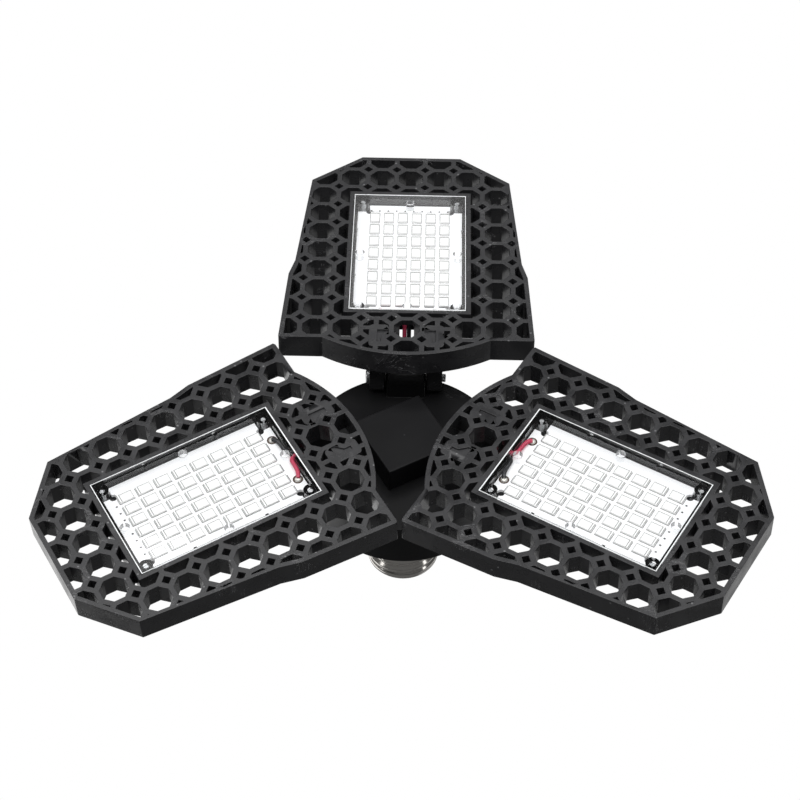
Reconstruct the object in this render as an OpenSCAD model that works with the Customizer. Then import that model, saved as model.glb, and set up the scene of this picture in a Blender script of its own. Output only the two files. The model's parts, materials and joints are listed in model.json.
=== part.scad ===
// Folding three-panel LED grow light on an E27 screw base.
// The origin is on the lamp's axis at the top of the screw shell, and +Z points up, towards the lit faces.
// Each panel is drawn in its own frame: the origin on its hinge axis, x across, y outwards, z up.

/* [Panel outline] */
// Thickness of a panel's lattice plate
panel_t = 9; // [8:0.5:12]
// Distance from the hinge axis to the panel's outer edge
panel_reach = 98.2; // [90:0.1:110]
// Width of the outer edge
outer_edge_w = 36.4; // [30:0.2:50]
// Length of each outer chamfer along the panel
chamfer_l = 14.3; // [8:0.1:20]
// Width across the panel where the chamfers end
chamfer_w = 72.6; // [66:0.2:76]
// Distance from the hinge axis to the outer end of the side flare
flare_outer_y = 37.5; // [34:0.5:44]
// Width across the panel at the outer end of the flare
flare_outer_w = 80.2; // [77:0.2:82]
// Distance from the hinge axis to the inner end of the side flare
flare_inner_y = 30; // [26:0.5:33]
// Width across the panel at the inner end of the flare
flare_inner_w = 84.1; // [82:0.1:86]
// Width of the edge that faces the hub
hub_edge_w = 87.6; // [84:0.2:88.4]
// Clearance between the corners of neighbouring panels when both are lifted to their stops
corner_gap = 0.2; // [0.1:0.05:1]
// Distance from the hinge axis back to the hub edge
hub_edge_back = 3.5; // [2:0.1:4]
// Width of the curved bulge on the hub edge
bulge_w = 57.6; // [48:0.2:62]
// Depth of the curved bulge
bulge_l = 8.1; // [6:0.1:9]

/* [Lattice] */
// Distance between neighbouring cells
cell_pitch = 10.5; // [10:0.1:11]
// Thickness of the webs between neighbouring eight-sided cells
web_t = 1.8; // [1.3:0.1:2.4]
// Thickness of the slanted webs between an eight-sided cell and a small square one
slant_web_t = 1.9; // [1.4:0.1:2.2]
// Distance from the hinge axis to the first full row of cells
first_row_y = 1.7; // [1:0.1:2.5]
// Width of the solid rim round the lattice
lattice_rim = 1.65; // [1.5:0.05:2.6]
// Width of the solid rim along the sides beyond the flare
side_rim = 1.3; // [1.1:0.05:1.8]
// Depth of the hollow under the webs, inside the rim
web_recess = 1.6; // [1.3:0.1:2]

/* [Window] */
// Width of the clear cover
cover_w = 40.5; // [38.5:0.1:42]
// Length of the clear cover
cover_l = 64; // [60:0.1:66]
// Distance from the hinge axis to the middle of the window
window_y = 43.7; // [42:0.1:46]
// Gap round the clear cover in its pocket
cover_gap = 0.2; // [0.1:0.05:0.4]
// Width of the solid rim round the window
window_rim = 1.6; // [1.2:0.1:2.4]
// Depth of the window pocket
pocket_depth = 5.7; // [5:0.1:6.2]
// Thickness of the cover's top
cover_top_t = 1.2; // [0.8:0.1:1.5]
// Thickness of the cover's side walls
cover_wall = 1.1; // [0.8:0.1:1.3]
// Radius of the cover's corner bosses
boss_r = 2.3; // [2:0.1:2.6]
// Distance of a corner boss from the cover's long side
boss_side_inset = 3.05; // [2.7:0.05:4]
// Distance of a corner boss from the cover's end
boss_end_inset = 2.6; // [2.4:0.05:4]
// Radius of the cover's hold-down pegs
peg_r = 1.6; // [1.2:0.1:1.8]

/* [Light board] */
// Gap between the light board's long sides and the cover's walls
board_side_gap = 0.15; // [0.1:0.05:0.5]
// Gap between the light board's ends and the cover's walls
board_end_gap = 0.4; // [0.1:0.05:1]
// Thickness of the light board
board_t = 1.2; // [1:0.1:1.6]
// Thickness of the heat-conducting pad under the board
heat_pad_t = 0.3; // [0.2:0.1:0.6]
// Distance between chips across the board
led_pitch_x = 5.06; // [4.4:0.02:6]
// Distance between chips along the board
led_pitch_y = 6.65; // [6:0.05:8]
// Least bare margin of the light board round the chips' cells
led_margin = 3.6; // [3.4:0.1:5]
// Width of a light chip
led_w = 3.4; // [2.8:0.1:3.6]
// Length of a light chip
led_l = 5.3; // [4.5:0.1:5.6]
// Height of a light chip
led_h = 0.8; // [0.5:0.1:1]
// Diameter of the insulated leads
lead_d = 1.5; // [1.2:0.1:1.6]

/* [Hinges] */
// Distance from the lamp's axis to each hinge axis
hinge_radius = 28.8; // [28.6:0.1:29.4]
// Clearance between the hinge lugs and the hub's disc
lug_disc_gap = 0.8; // [0.5:0.1:2]
// Height of a panel's lit face above its hinge axis
face_height = 21; // [20:0.1:23]
// Radius of the hub's hinge barrels
barrel_r = 4.5; // [4.2:0.1:4.8]
// Width of a hub barrel
barrel_w = 13; // [11:0.2:13.4]
// Radius of the round end of a panel's hinge lugs
lug_r = 4.7; // [4.4:0.1:4.8]
// Thickness of a lug
lug_t = 5.1; // [4:0.1:6]
// Thickness of a hinge washer
washer_t = 0.7; // [0.5:0.1:1]
// Radius of the hinge screw
hinge_screw_r = 1.5; // [1.3:0.1:1.6]
// Running clearance of the hinge screw, on the radius
hinge_clearance = 0.06; // [0.03:0.01:0.1]
// Droop of the far panel below level, in degrees
droop_1 = 6.3; // [-1.2:0.1:90]
// Droop of the right panel below level, in degrees
droop_2 = -1.2; // [-1.2:0.1:90]
// Droop of the left panel below level, in degrees
droop_3 = 3.3; // [-1.2:0.1:90]
// How far a panel lifts above level before it meets its stop, in degrees
lift_stop = 1.2; // [0:0.1:3]

/* [Hub] */
// Radius of the hub's top disc
disc_r = 34; // [33:0.1:36]
// Width of the disc's rim outside the drum
disc_overhang = 1.2; // [0.6:0.1:2]
// Thickness of the hub's top disc
disc_t = 3; // [2.4:0.1:4]
// Height of the housing's drum
drum_h = 18.2; // [17:0.1:24]
// How much narrower the drum's radius is at its lower edge
drum_taper = 0.6; // [0.2:0.1:2]
// Height of the drum's lower edge above the screw shell
drum_bottom_z = 14.6; // [12:0.2:17]
// Radius of the neck where it meets the screw shell
neck_r = 15.6; // [14.6:0.1:18]
// Wall thickness of the housing
housing_wall = 2.2; // [1.8:0.1:3]
// Side of the square cap on the hub
cap_side = 25.4; // [22:0.1:26]
// Height of the square cap above the disc
cap_h = 9.7; // [8:0.1:10.5]
// Wall thickness of the square cap
cap_wall = 1.8; // [1.4:0.1:2.4]
// Turn of the square cap about the lamp's axis, in degrees
cap_turn = 30; // [0:1:90]
// Radius of the screw posts in the hub
post_r = 2.8; // [2.2:0.1:3.2]

/* [Screw base] */
// Radius of the plain collar at the top of the screw shell
collar_r = 13.2; // [13.1:0.05:13.3]
// Length of the plain collar
collar_l = 4; // [3:0.1:5]
// How much lower than the collar the thread's crests are
crest_step = 0.1; // [0.05:0.05:0.3]
// Depth of the thread
thread_depth = 0.95; // [0.8:0.01:1]
// Pitch of the thread, seven turns to the inch
thread_pitch = 3.629; // [3.6:0.001:3.66]
// Number of thread turns
thread_turns = 4.5; // [3:0.5:5]
// Wall thickness of the screw shell at the collar
shell_wall = 0.5; // [0.4:0.05:0.8]
// Height of the insulated tip below the screw shell
tip_h = 5.1; // [4:0.1:6]
// Radius of the centre contact
contact_r = 4.8; // [4:0.1:6]

/* [Driver] */
// Height of the standoffs under the driver's circuit board
standoff_h = 2.8; // [2:0.1:4]
// Thickness of the driver board
driver_board_t = 1.6; // [1:0.1:2]
// Radius of the filter capacitor
capacitor_r = 5; // [3:0.1:5.5]
// Height of the filter capacitor
capacitor_h = 16; // [10:0.5:20]

/* [Hidden] */
panel_parts = ["panel_frame", "heat_pad", "led_board", "light_chips", "solder_joints", "lens_cover",
    "cover_screws", "hinge_screw", "hinge_nut", "hinge_washers", "lead_red", "lead_black"];

// Directions and droops of the far, right and left panels
panel_angle = [0, -120, 120];
panel_droop = [droop_1, droop_2, droop_3];

// Colours
satin_black = [0.11, 0.11, 0.115];
black_plastic = [0.08, 0.08, 0.085];
nickel = [0.72, 0.70, 0.66];
steel = [0.62, 0.62, 0.62];
board_white = [0.95, 0.95, 0.94];
chip_white = [0.98, 0.97, 0.92];
clear_tint = [0.85, 0.88, 0.9, 0.35];
lead_red_colour = [0.75, 0.12, 0.2];
lead_black_colour = [0.06, 0.06, 0.06];
solder_grey = [0.7, 0.7, 0.68];
pad_grey = [0.55, 0.57, 0.6];
board_green = [0.12, 0.35, 0.2];
copper = [0.72, 0.38, 0.2];
ferrite = [0.2, 0.2, 0.21];

// Hub levels and fits
fit_gap = 0.05;
touch = 0.01;
shoulder_z = drum_bottom_z + housing_wall;
housing_top_z = drum_bottom_z + drum_h;
disc_top_z = housing_top_z + disc_t;
drum_top_r = disc_r - disc_overhang;
drum_r = drum_top_r - drum_taper;
drum_chamfer = 1.5;
post_gap = 0.3;
hub_screw_ring = drum_r - housing_wall - post_gap - post_r;
hub_screw_r = 1.25;
hub_head_r = 2.4;
hub_head_h = 1.8;
hub_screw_l = 9;
hole_gap = 0.2;
cone_margin = 2.5;
cone_top_r = hub_screw_ring - hub_head_r - cone_margin;
seat_h = 3;
spigot_below_collar = 5;
lip_h = 2;
lip_gap = 0.2;
lip_t = 2.6;
standoff_r = 1.6;
board_post_gap = 0.5;
driver_board_r = hub_screw_ring - post_r - board_post_gap;
driver_board_z = shoulder_z + standoff_h;
driver_top_z = driver_board_z + driver_board_t;
cap_hole_inset = 3;
cap_lip = 2.6;
cap_lip_wall = 1.2;
cap_gap = 0.2;
cap_hole_side = cap_side - 2 * cap_hole_inset;

// Hinge fits
hinge_z = disc_top_z + lug_r + lug_disc_gap;
bore_r = hinge_screw_r + hinge_clearance;
washer_gap = 0.3;
washer_r = 3.5;
lug_inner_x = barrel_w / 2 + washer_gap + washer_t;
lug_outer_x = lug_inner_x + lug_t;
screw_head_r = 2.75;
screw_head_h = 1.4;
screw_end = 1.3;
nut_flats = 5.5;
nut_h = 2.4;
nut_gap = 0.1;
lead_gap = 0.4;
lead_end_gap = 0.25;
lead_x = (lead_d + lead_gap) / 2;
channel_wall = 0.3;
channel_w = 2 * lead_x + lead_d + 2 * lead_gap;
channel_y = [bore_r + channel_wall, bore_r + channel_wall + lead_d + lead_gap];
channel_mid = (channel_y[0] + channel_y[1]) / 2;
channel_slant = 20;
channel_bottom = 13;

// Levels in a panel's frame
face_z = face_height;
plate_z = face_z - panel_t;
floor_z = face_z - pocket_depth;
board_z = floor_z + heat_pad_t;
board_top_z = board_z + board_t;

// Lattice
octagon_flats = cell_pitch - web_t;
square_side = cell_pitch * sqrt(2) - octagon_flats - 2 * slant_web_t;
column_count = 4;
row_first = -1;
row_last = 9;
least_cut = 0.15;
edge_slot_row = 5;
edge_slot_size = [0.55, 3.2];
edge_slot_inset = 1.1;
level_reach = hinge_radius - hub_edge_back * cos(lift_stop) - face_height * sin(lift_stop);
corner_cut = max(0.2, hub_edge_w / 2 * cos(60) - level_reach * sin(60) + corner_gap / 2);
window_solid_w = cover_w + 2 * (cover_gap + window_rim);
window_solid_l = cover_l + 2 * (cover_gap + window_rim);
pad_margin_in = 1.4;
pad_margin_out = 0.3;
pad_inner_x = lug_inner_x - pad_margin_in;
pad_outer_x = lug_outer_x + pad_margin_out;
pad_back = 7.5;
pad_front = 3.75;
pad_corner_r = 1.5;
pad_rib_y = [1.05, 3];
pad_recess_side = 0.45;
pad_recess_back = 4.95;
pad_recess_d = 1.2;
lug_inset = 0.65;
octagon_corner = octagon_flats / 2 * tan(22.5);

// Window
board_w = cover_w - 2 * (cover_wall + board_side_gap);
board_l = cover_l - 2 * (cover_wall + board_end_gap);
led_columns = floor((board_w - 2 * led_margin) / led_pitch_x);
led_rows = floor((board_l - 2 * led_margin) / led_pitch_y);
boss_x = cover_w / 2 - boss_side_inset;
boss_y = cover_l / 2 - boss_end_inset;
boss_top_gap = 0.2;
cover_rib_w = 1.4;
cover_rib_t = 1;
cover_rib_gap = 0.2;
cover_screw_r = 1;
cover_head_r = 1.9;
cover_head_h = 1.3;
screw_tip_gap = 0.8;
cover_screw_l = panel_t - web_recess - cover_top_t - screw_tip_gap;
notch_gap = 0.2;
board_notch = [boss_side_inset + boss_r - cover_wall - board_side_gap + notch_gap,
    boss_end_inset + boss_r - cover_wall - board_end_gap + notch_gap];
board_bite_r = 1.3;
heat_pad_inset = 0.6;
lead_notch_w = 2 * lead_x + lead_d + 4 * lead_gap;
lead_notch_h = lead_d + 1.4;
joint_x = 9.4;
joint_r = 1.2;
joint_top_r = 0.5;
joint_h = 0.6;
joint_inset = 1.9;
joint_y = board_l / 2 - joint_inset;

// Screw base
thread_crest_r = collar_r - crest_step;
thread_l = thread_pitch * thread_turns;
thread_bottom_z = -collar_l - thread_l;
curl_l = 1.6;
curl_inset = 1.25;
curl_r = thread_crest_r - thread_depth - curl_inset;
shell_bottom_z = thread_bottom_z - curl_l;
shell_bore_r = thread_crest_r - thread_depth - shell_wall;
spigot_r = collar_r - shell_wall;
seat_z = shell_wall - collar_l;
spigot_bottom_z = -collar_l - spigot_below_collar;
contact_h = 1.4;
tip_z = shell_bottom_z - tip_h;
insulator_gap = 0.4;
insulator_in = 3;
insulator_hole_r = 0.8;
insulator_step = 0.8;
thread_sides = 36;
thread_rings = 8;

// Small helper functions
function unit(v) = v / norm(v);
function mirror_x(points) = [for (k = [len(points) - 1:-1:0]) [-points[k].x, points[k].y]];
function row_y(j) = first_row_y + j * cell_pitch;

// A polygon, listed anticlockwise, with the edge that starts at its point k moved inwards by t[k]
function inset(points, t) = let (n = len(points)) [for (k = [0:n - 1])
    let (before = (k + n - 1) % n, u = unit(points[k] - points[before]),
        v = unit(points[(k + 1) % n] - points[k]), a = [-u.y, u.x], b = [-v.y, v.x], c = a * b)
    points[k] + ((t[before] - c * t[k]) * a + (t[k] - c * t[before]) * b) / (1 - c * c)];

// A smooth curve through points, with steps pieces between each two
function along(p, steps) = let (n = len(p)) concat([for (k = [0:n - 2], s = [0:steps - 1])
    let (t = s / steps, a = p[max(k - 1, 0)], b = p[k], c = p[k + 1], d = p[min(k + 2, n - 1)])
    0.5 * (2 * b + (c - a) * t + (2 * a - 5 * b + 4 * c - d) * t * t + (3 * b - a - 3 * c + d) * t * t * t)],
    [p[n - 1]]);

// A round tube along a curve
module tube(route, d, steps = 4, sides = 8) {
    c = along(route, steps);
    n = len(c);
    tangent = [for (k = [0:n - 1]) unit(c[min(k + 1, n - 1)] - c[max(k - 1, 0)])];
    side = frame_sides(tangent, unit(cross(tangent[0], first_side(tangent[0]))), 0);
    rings = [for (k = [0:n - 1], s = [0:sides - 1])
        c[k] + d / 2 * (cos(360 * s / sides) * side[k] + sin(360 * s / sides) * cross(tangent[k], side[k]))];
    walls = [for (k = [0:n - 2], s = [0:sides - 1]) let (a = k * sides + s, b = k * sides + (s + 1) % sides)
        each [[a, a + sides, b], [b, a + sides, b + sides]]];
    ends = [for (s = [1:sides - 2]) each [[0, s, s + 1],
        [(n - 1) * sides, (n - 1) * sides + s + 1, (n - 1) * sides + s]]];
    polyhedron(rings, concat(walls, ends));
}

function first_side(t) = abs(t.z) < 0.9 ? [0, 0, 1] : [1, 0, 0];
function frame_sides(tangent, side, k) = let (s = unit(side - (side * tangent[k]) * tangent[k]))
    k == len(tangent) - 1 ? [s] : concat([s], frame_sides(tangent, s, k + 1));

// Panel outline, its hub corners cut to clear the neighbouring panels
side_points = [[hub_edge_w / 2, -hub_edge_back], [flare_inner_w / 2, flare_inner_y],
    [flare_outer_w / 2, flare_outer_y], [chamfer_w / 2, panel_reach - chamfer_l],
    [outer_edge_w / 2, panel_reach]];
side_run = unit(side_points[1] - side_points[0]);
cut_points = concat([side_points[0] - [corner_cut / cos(60), 0],
    side_points[0] + side_run * corner_cut / (sin(60) * side_run.y - cos(60) * side_run.x)],
    [for (k = [1:len(side_points) - 1]) side_points[k]]);
bulge_r = (pow(bulge_w / 2, 2) + bulge_l * bulge_l) / (2 * bulge_l);
module outline() {
    polygon(concat(cut_points, mirror_x(cut_points)));
    bulge(0);
}

// The bulge on the hub edge, moved inwards by t
module bulge(t) {
    intersection() {
        translate([0, bulge_r - hub_edge_back - bulge_l]) circle(r = bulge_r - t, $fn = 180);
        translate([-bulge_w / 2, -hub_edge_back - bulge_l]) square([bulge_w, bulge_l + t + 1]);
    }
}

// The area inside the rim
module inside_rim() {
    rims = [for (k = [0:9]) k == 2 || k == 6 ? side_rim : lattice_rim];
    polygon(inset(concat(side_points, mirror_x(side_points)), rims));
    bulge(lattice_rim);
}

// Whether a cell's middle lies near enough to the plate for the cell to be cut
function half_width(y) = lookup(y, [for (p = side_points) [p.y, p.x]]);
function in_reach(x, y, size) = abs(x) - size < half_width(y) - side_rim - least_cut
    && y - size < panel_reach - lattice_rim - least_cut;

module octagons() {
    for (i = [-column_count:column_count], j = [row_first:row_last])
        if (in_reach(i * cell_pitch, row_y(j), octagon_flats / 2))
            translate([i * cell_pitch, row_y(j)])
                rotate(22.5) circle(d = octagon_flats / cos(22.5), $fn = 8);
}

module small_squares() {
    for (i = [-column_count:column_count - 1], j = [row_first:row_last])
        if (in_reach((i + 0.5) * cell_pitch, row_y(j + 0.5), square_side / sqrt(2)))
            translate([(i + 0.5) * cell_pitch, row_y(j + 0.5)])
                rotate(45) square(square_side, center = true);
}

// Where the sides leave no room for a cell of the outermost column, its row has only a slot
module edge_slots() {
    for (s = [-1, 1])
        translate([s * (half_width(row_y(edge_slot_row)) - edge_slot_inset), row_y(edge_slot_row)])
            square(edge_slot_size, center = true);
}

// What stays solid inside the lattice: the window's frame, and the hinge pads with their ribs
module window_area() {
    translate([0, window_y]) square([window_solid_w, window_solid_l], center = true);
}

module hinge_pads() {
    pad_w = pad_outer_x - pad_inner_x;
    pad_l = pad_back + pad_front;
    for (s = [-1, 1]) scale([s, 1]) translate([pad_inner_x, -pad_back]) {
        translate([pad_corner_r, 0]) square([pad_w - 2 * pad_corner_r, pad_l]);
        translate([0, pad_corner_r]) square([pad_w, pad_l - 2 * pad_corner_r]);
        for (x = [pad_corner_r, pad_w - pad_corner_r], y = [pad_corner_r, pad_l - pad_corner_r])
            translate([x, y]) circle(r = pad_corner_r, $fn = 32);
    }
}

module pad_ribs() {
    for (s = [-1, 1]) scale([s, 1]) {
        translate([cell_pitch - web_t / 2, row_y(-1)]) square([web_t, cell_pitch + octagon_flats / 2]);
        translate([pad_outer_x - 1, pad_rib_y[0]])
            square([cell_pitch + octagon_flats / 2 - pad_outer_x + 1, pad_rib_y[1] - pad_rib_y[0]]);
    }
}

module lattice() {
    difference() {
        outline();
        difference() {
            intersection() {
                inside_rim();
                octagons();
            }
            window_area();
            hinge_pads();
            pad_ribs();
        }
        difference() {
            intersection() {
                inside_rim();
                small_squares();
            }
            window_area();
        }
        edge_slots();
    }
}

// A shape drawn in y and z, pushed out along x from x0 to x1
module along_x(x0, x1) {
    translate([x0, 0, 0]) rotate([90, 0, 90]) linear_extrude(x1 - x0) children();
}

module rod_x(r, x0, x1, sides = 48) {
    translate([x0, 0, 0]) rotate([0, 90, 0]) cylinder(r = r, h = x1 - x0, $fn = sides);
}

// Places its children in the frame of panel n, from 1 to 3
module on_panel(n) {
    rotate(panel_angle[n - 1]) translate([0, hinge_radius, hinge_z]) rotate([-panel_droop[n - 1], 0, 0])
        children();
}

module at_window(z) {
    translate([0, window_y, z]) children();
}

module at_corners(x, y) {
    for (a = [-1, 1], b = [-1, 1]) translate([a * x, b * y, 0]) children();
}

module lug_profile() {
    circle(r = lug_r, $fn = 64);
    polygon([[-lug_r, 0], [lug_r, 0], [pad_front - lug_inset, plate_z + 1],
        [lug_inset - pad_back, plate_z + 1]]);
}

module panel_frame(n) {
    color(satin_black) on_panel(n) difference() {
        union() {
            difference() {
                translate([0, 0, plate_z]) linear_extrude(panel_t) lattice();
                translate([0, 0, plate_z - 1]) linear_extrude(1 + web_recess) difference() {
                    inside_rim();
                    hinge_pads();
                }
            }
            for (s = [-1, 1]) along_x(s > 0 ? lug_inner_x : -lug_outer_x, s > 0 ? lug_outer_x : -lug_inner_x)
                lug_profile();
        }
        at_window(floor_z) translate([-cover_w / 2 - cover_gap, -cover_l / 2 - cover_gap, 0])
            cube([cover_w + 2 * cover_gap, cover_l + 2 * cover_gap, pocket_depth + 1]);
        at_window(plate_z - 1) at_corners(boss_x, boss_y)
            cylinder(r = cover_screw_r + hole_gap, h = panel_t, $fn = 32);
        translate([-lead_notch_w / 2, first_row_y, board_top_z - 1])
            cube([lead_notch_w, window_y - cover_l / 2 - first_row_y, lead_notch_h]);
        translate([-lead_notch_w / 2, first_row_y, plate_z - 1])
            cube([lead_notch_w, window_y - window_solid_l / 2 - first_row_y,
                board_top_z - plate_z + lead_notch_h]);
        rod_x(bore_r, -lug_outer_x - 1, lug_outer_x + 1);
        rod_x(nut_flats / 2 / cos(30) + nut_gap, lug_outer_x - nut_h, lug_outer_x + 1, 6);
        for (s = [-1, 1]) scale([s, 1, 1]) translate([0, 0, face_z - pad_recess_d])
            linear_extrude(2) polygon([[cell_pitch - pad_recess_side, pad_rib_y[0]],
                [cell_pitch - octagon_flats / 2, pad_rib_y[0]],
                [cell_pitch - octagon_flats / 2, first_row_y - octagon_corner],
                [cell_pitch - octagon_corner, first_row_y - octagon_flats / 2],
                [cell_pitch - octagon_corner, -pad_recess_back],
                [cell_pitch - pad_recess_side, -pad_recess_back]]);
    }
}

// Board outline with its notched corners, smaller by t all round
module board_shape(t = 0) {
    difference() {
        square([board_w - 2 * t, board_l - 2 * t], center = true);
        for (a = [-1, 1], b = [-1, 1]) scale([a, b]) {
            translate([board_w / 2 - board_notch.x - t, board_l / 2 - board_notch.y - t])
                square(board_notch + [2 * t + 1, 2 * t + 1]);
            translate([board_w / 2 - board_notch.x, board_l / 2 - board_notch.y])
                circle(r = board_bite_r + t, $fn = 32);
        }
    }
}

module heat_pad(n) {
    color(pad_grey) on_panel(n) at_window(floor_z) linear_extrude(heat_pad_t) board_shape(heat_pad_inset);
}

module led_board(n) {
    color(board_white) on_panel(n) at_window(board_z) linear_extrude(board_t) board_shape();
}

module light_chips(n) {
    color(chip_white) on_panel(n) at_window(board_top_z)
        for (i = [0:led_columns - 1], j = [0:led_rows - 1])
            translate([(i - (led_columns - 1) / 2) * led_pitch_x - led_w / 2,
                (j - (led_rows - 1) / 2) * led_pitch_y - led_l / 2, 0])
                cube([led_w, led_l, led_h]);
}

module solder_joints(n) {
    color(solder_grey) on_panel(n) at_window(board_top_z) for (s = [-1, 1])
        translate([s * joint_x, -joint_y, 0]) cylinder(r1 = joint_r, r2 = joint_top_r, h = joint_h, $fn = 32);
}

module lens_cover(n) {
    board_seat = heat_pad_t + board_t;
    color(clear_tint) on_panel(n) at_window(floor_z) difference() {
        union() {
            difference() {
                translate([-cover_w / 2, -cover_l / 2, 0]) cube([cover_w, cover_l, pocket_depth]);
                translate([-cover_w / 2 + cover_wall, -cover_l / 2 + cover_wall, -1])
                    cube([cover_w - 2 * cover_wall, cover_l - 2 * cover_wall, pocket_depth - cover_top_t + 1]);
            }
            at_corners(boss_x, boss_y) cylinder(r = boss_r, h = pocket_depth - boss_top_gap, $fn = 48);
            for (p = [[0, board_l / 2 - peg_r], [0, peg_r - board_l / 2],
                [board_w / 2 - peg_r, 0], [peg_r - board_w / 2, 0]])
                translate([p.x, p.y, board_seat])
                    cylinder(r = peg_r, h = pocket_depth - board_seat - boss_top_gap, $fn = 32);
            for (s = [-1, 1], b = [-1, 1])
                translate([s * (cover_w / 2 - cover_rib_w / 2 - boss_top_gap) - cover_rib_w / 2,
                    b * cover_l / 5 - cover_rib_t / 2, board_seat + cover_rib_gap])
                    cube([cover_rib_w, cover_rib_t, pocket_depth - board_seat - cover_rib_gap - boss_top_gap]);
        }
        translate([0, 0, -1]) at_corners(boss_x, boss_y)
            cylinder(r = cover_screw_r + fit_gap, h = 1 + pocket_depth - cover_top_t - screw_tip_gap / 2, $fn = 32);
        translate([-lead_notch_w / 2, -cover_l / 2 - 1, -1])
            cube([lead_notch_w, cover_wall + 1 + board_end_gap / 2, board_seat + lead_notch_h]);
    }
}

module cover_screws(n) {
    color(steel) on_panel(n) at_window(plate_z + web_recess) at_corners(boss_x, boss_y) {
        translate([0, 0, -cover_head_h]) difference() {
            cylinder(r = cover_head_r, h = cover_head_h, $fn = 32);
            translate([-0.25, -1.2, -1]) cube([0.5, 2.4, 1.5]);
            translate([-1.2, -0.25, -1]) cube([2.4, 0.5, 1.5]);
        }
        translate([0, 0, -touch]) cylinder(r = cover_screw_r, h = cover_screw_l, $fn = 32);
    }
}

module hinge_screw(n) {
    color(steel) on_panel(n) difference() {
        union() {
            rod_x(hinge_screw_r, -lug_outer_x, lug_outer_x + screw_end);
            rod_x(screw_head_r, -lug_outer_x - screw_head_h, -lug_outer_x);
        }
        translate([-lug_outer_x - screw_head_h - 1, -1.8, -0.3]) cube([1.7, 3.6, 0.6]);
        translate([-lug_outer_x - screw_head_h - 1, -0.3, -1.8]) cube([1.7, 0.6, 3.6]);
    }
}

module hinge_nut(n) {
    color(steel) on_panel(n) difference() {
        rod_x(nut_flats / 2 / cos(30), lug_outer_x - nut_h, lug_outer_x, 6);
        rod_x(hinge_screw_r + fit_gap, 0, lug_outer_x + 1, 48);
    }
}

module hinge_washers(n) {
    color(steel) on_panel(n) for (s = [-1, 1]) difference() {
        rod_x(washer_r, s > 0 ? lug_inner_x - washer_t : -lug_inner_x,
            s > 0 ? lug_inner_x : washer_t - lug_inner_x);
        rod_x(bore_r, -lug_outer_x, lug_outer_x);
    }
}

// Route of a lead from its solder joint, through the frame's passage and down to the hub barrel
function panel_route(s) = let (z = board_top_z + lead_d / 2 + fit_gap, y = window_y - joint_y,
    wall_y = window_y - cover_l / 2, slot_y = first_row_y + octagon_flats / 2 - lead_d) [
    [s * (joint_x - joint_r - fit_gap), y, z], [s * (joint_x - 2.8), y - 0.3, z + 0.2],
    [s * (joint_x - 5.6), y - 0.6, z + 0.2], [s * (lead_x + 0.4), y - 2.5, z],
    [s * lead_x, wall_y - 1, z], [s * lead_x, first_row_y + octagon_flats / 2 + 0.4, z],
    [s * lead_x, slot_y + 0.4, z - 1.6], [s * lead_x, slot_y, plate_z],
    [s * lead_x, slot_y - 0.2, (plate_z + barrel_r) / 2], [s * lead_x, slot_y - 0.3, barrel_r + 1.1]];

module lead_red(n) {
    color(lead_red_colour) on_panel(n) tube(panel_route(-1), lead_d);
}

module lead_black(n) {
    color(lead_black_colour) on_panel(n) tube(panel_route(1), lead_d);
}

// Hub
module square_turned(side, z0, z1) {
    rotate(cap_turn) translate([-side / 2, -side / 2, z0]) cube([side, side, z1 - z0]);
}

module at_hinges() {
    for (a = panel_angle) rotate(a) translate([0, hinge_radius, hinge_z]) children();
}

module at_hub_screws() {
    for (a = panel_angle) rotate(a + 60) translate([0, hub_screw_ring, 0]) children();
}

module hub_cover() {
    color(satin_black) difference() {
        union() {
            translate([0, 0, housing_top_z]) cylinder(r = disc_r, h = disc_t, $fn = 128);
            at_hinges() along_x(-barrel_w / 2, barrel_w / 2) {
                circle(r = barrel_r, $fn = 64);
                translate([-barrel_r, disc_top_z - hinge_z - 1])
                    square([2 * barrel_r, hinge_z - disc_top_z + 1]);
            }
            at_hub_screws() translate([0, 0, shoulder_z])
                cylinder(r = post_r, h = housing_top_z - shoulder_z + 1, $fn = 48);
            difference() {
                translate([0, 0, housing_top_z - lip_h])
                    cylinder(r = drum_top_r - housing_wall - lip_gap, h = lip_h + 0.5, $fn = 128);
                translate([0, 0, housing_top_z - lip_h - 1])
                    cylinder(r = drum_top_r - housing_wall - lip_gap - lip_t, h = lip_h + 1, $fn = 128);
            }
        }
        square_turned(cap_hole_side, housing_top_z - 1, disc_top_z + 1);
        at_hinges() rod_x(bore_r, -barrel_w, barrel_w);
        at_hinges() rotate([-channel_slant, 0, 0]) translate([-channel_w / 2, channel_y[0], -channel_bottom])
            cube([channel_w, channel_y[1] - channel_y[0], channel_bottom + barrel_r + 4]);
        at_hub_screws() translate([0, 0, shoulder_z - 1])
            cylinder(r = hub_screw_r + fit_gap, h = hub_screw_l + 1, $fn = 32);
    }
}

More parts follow.
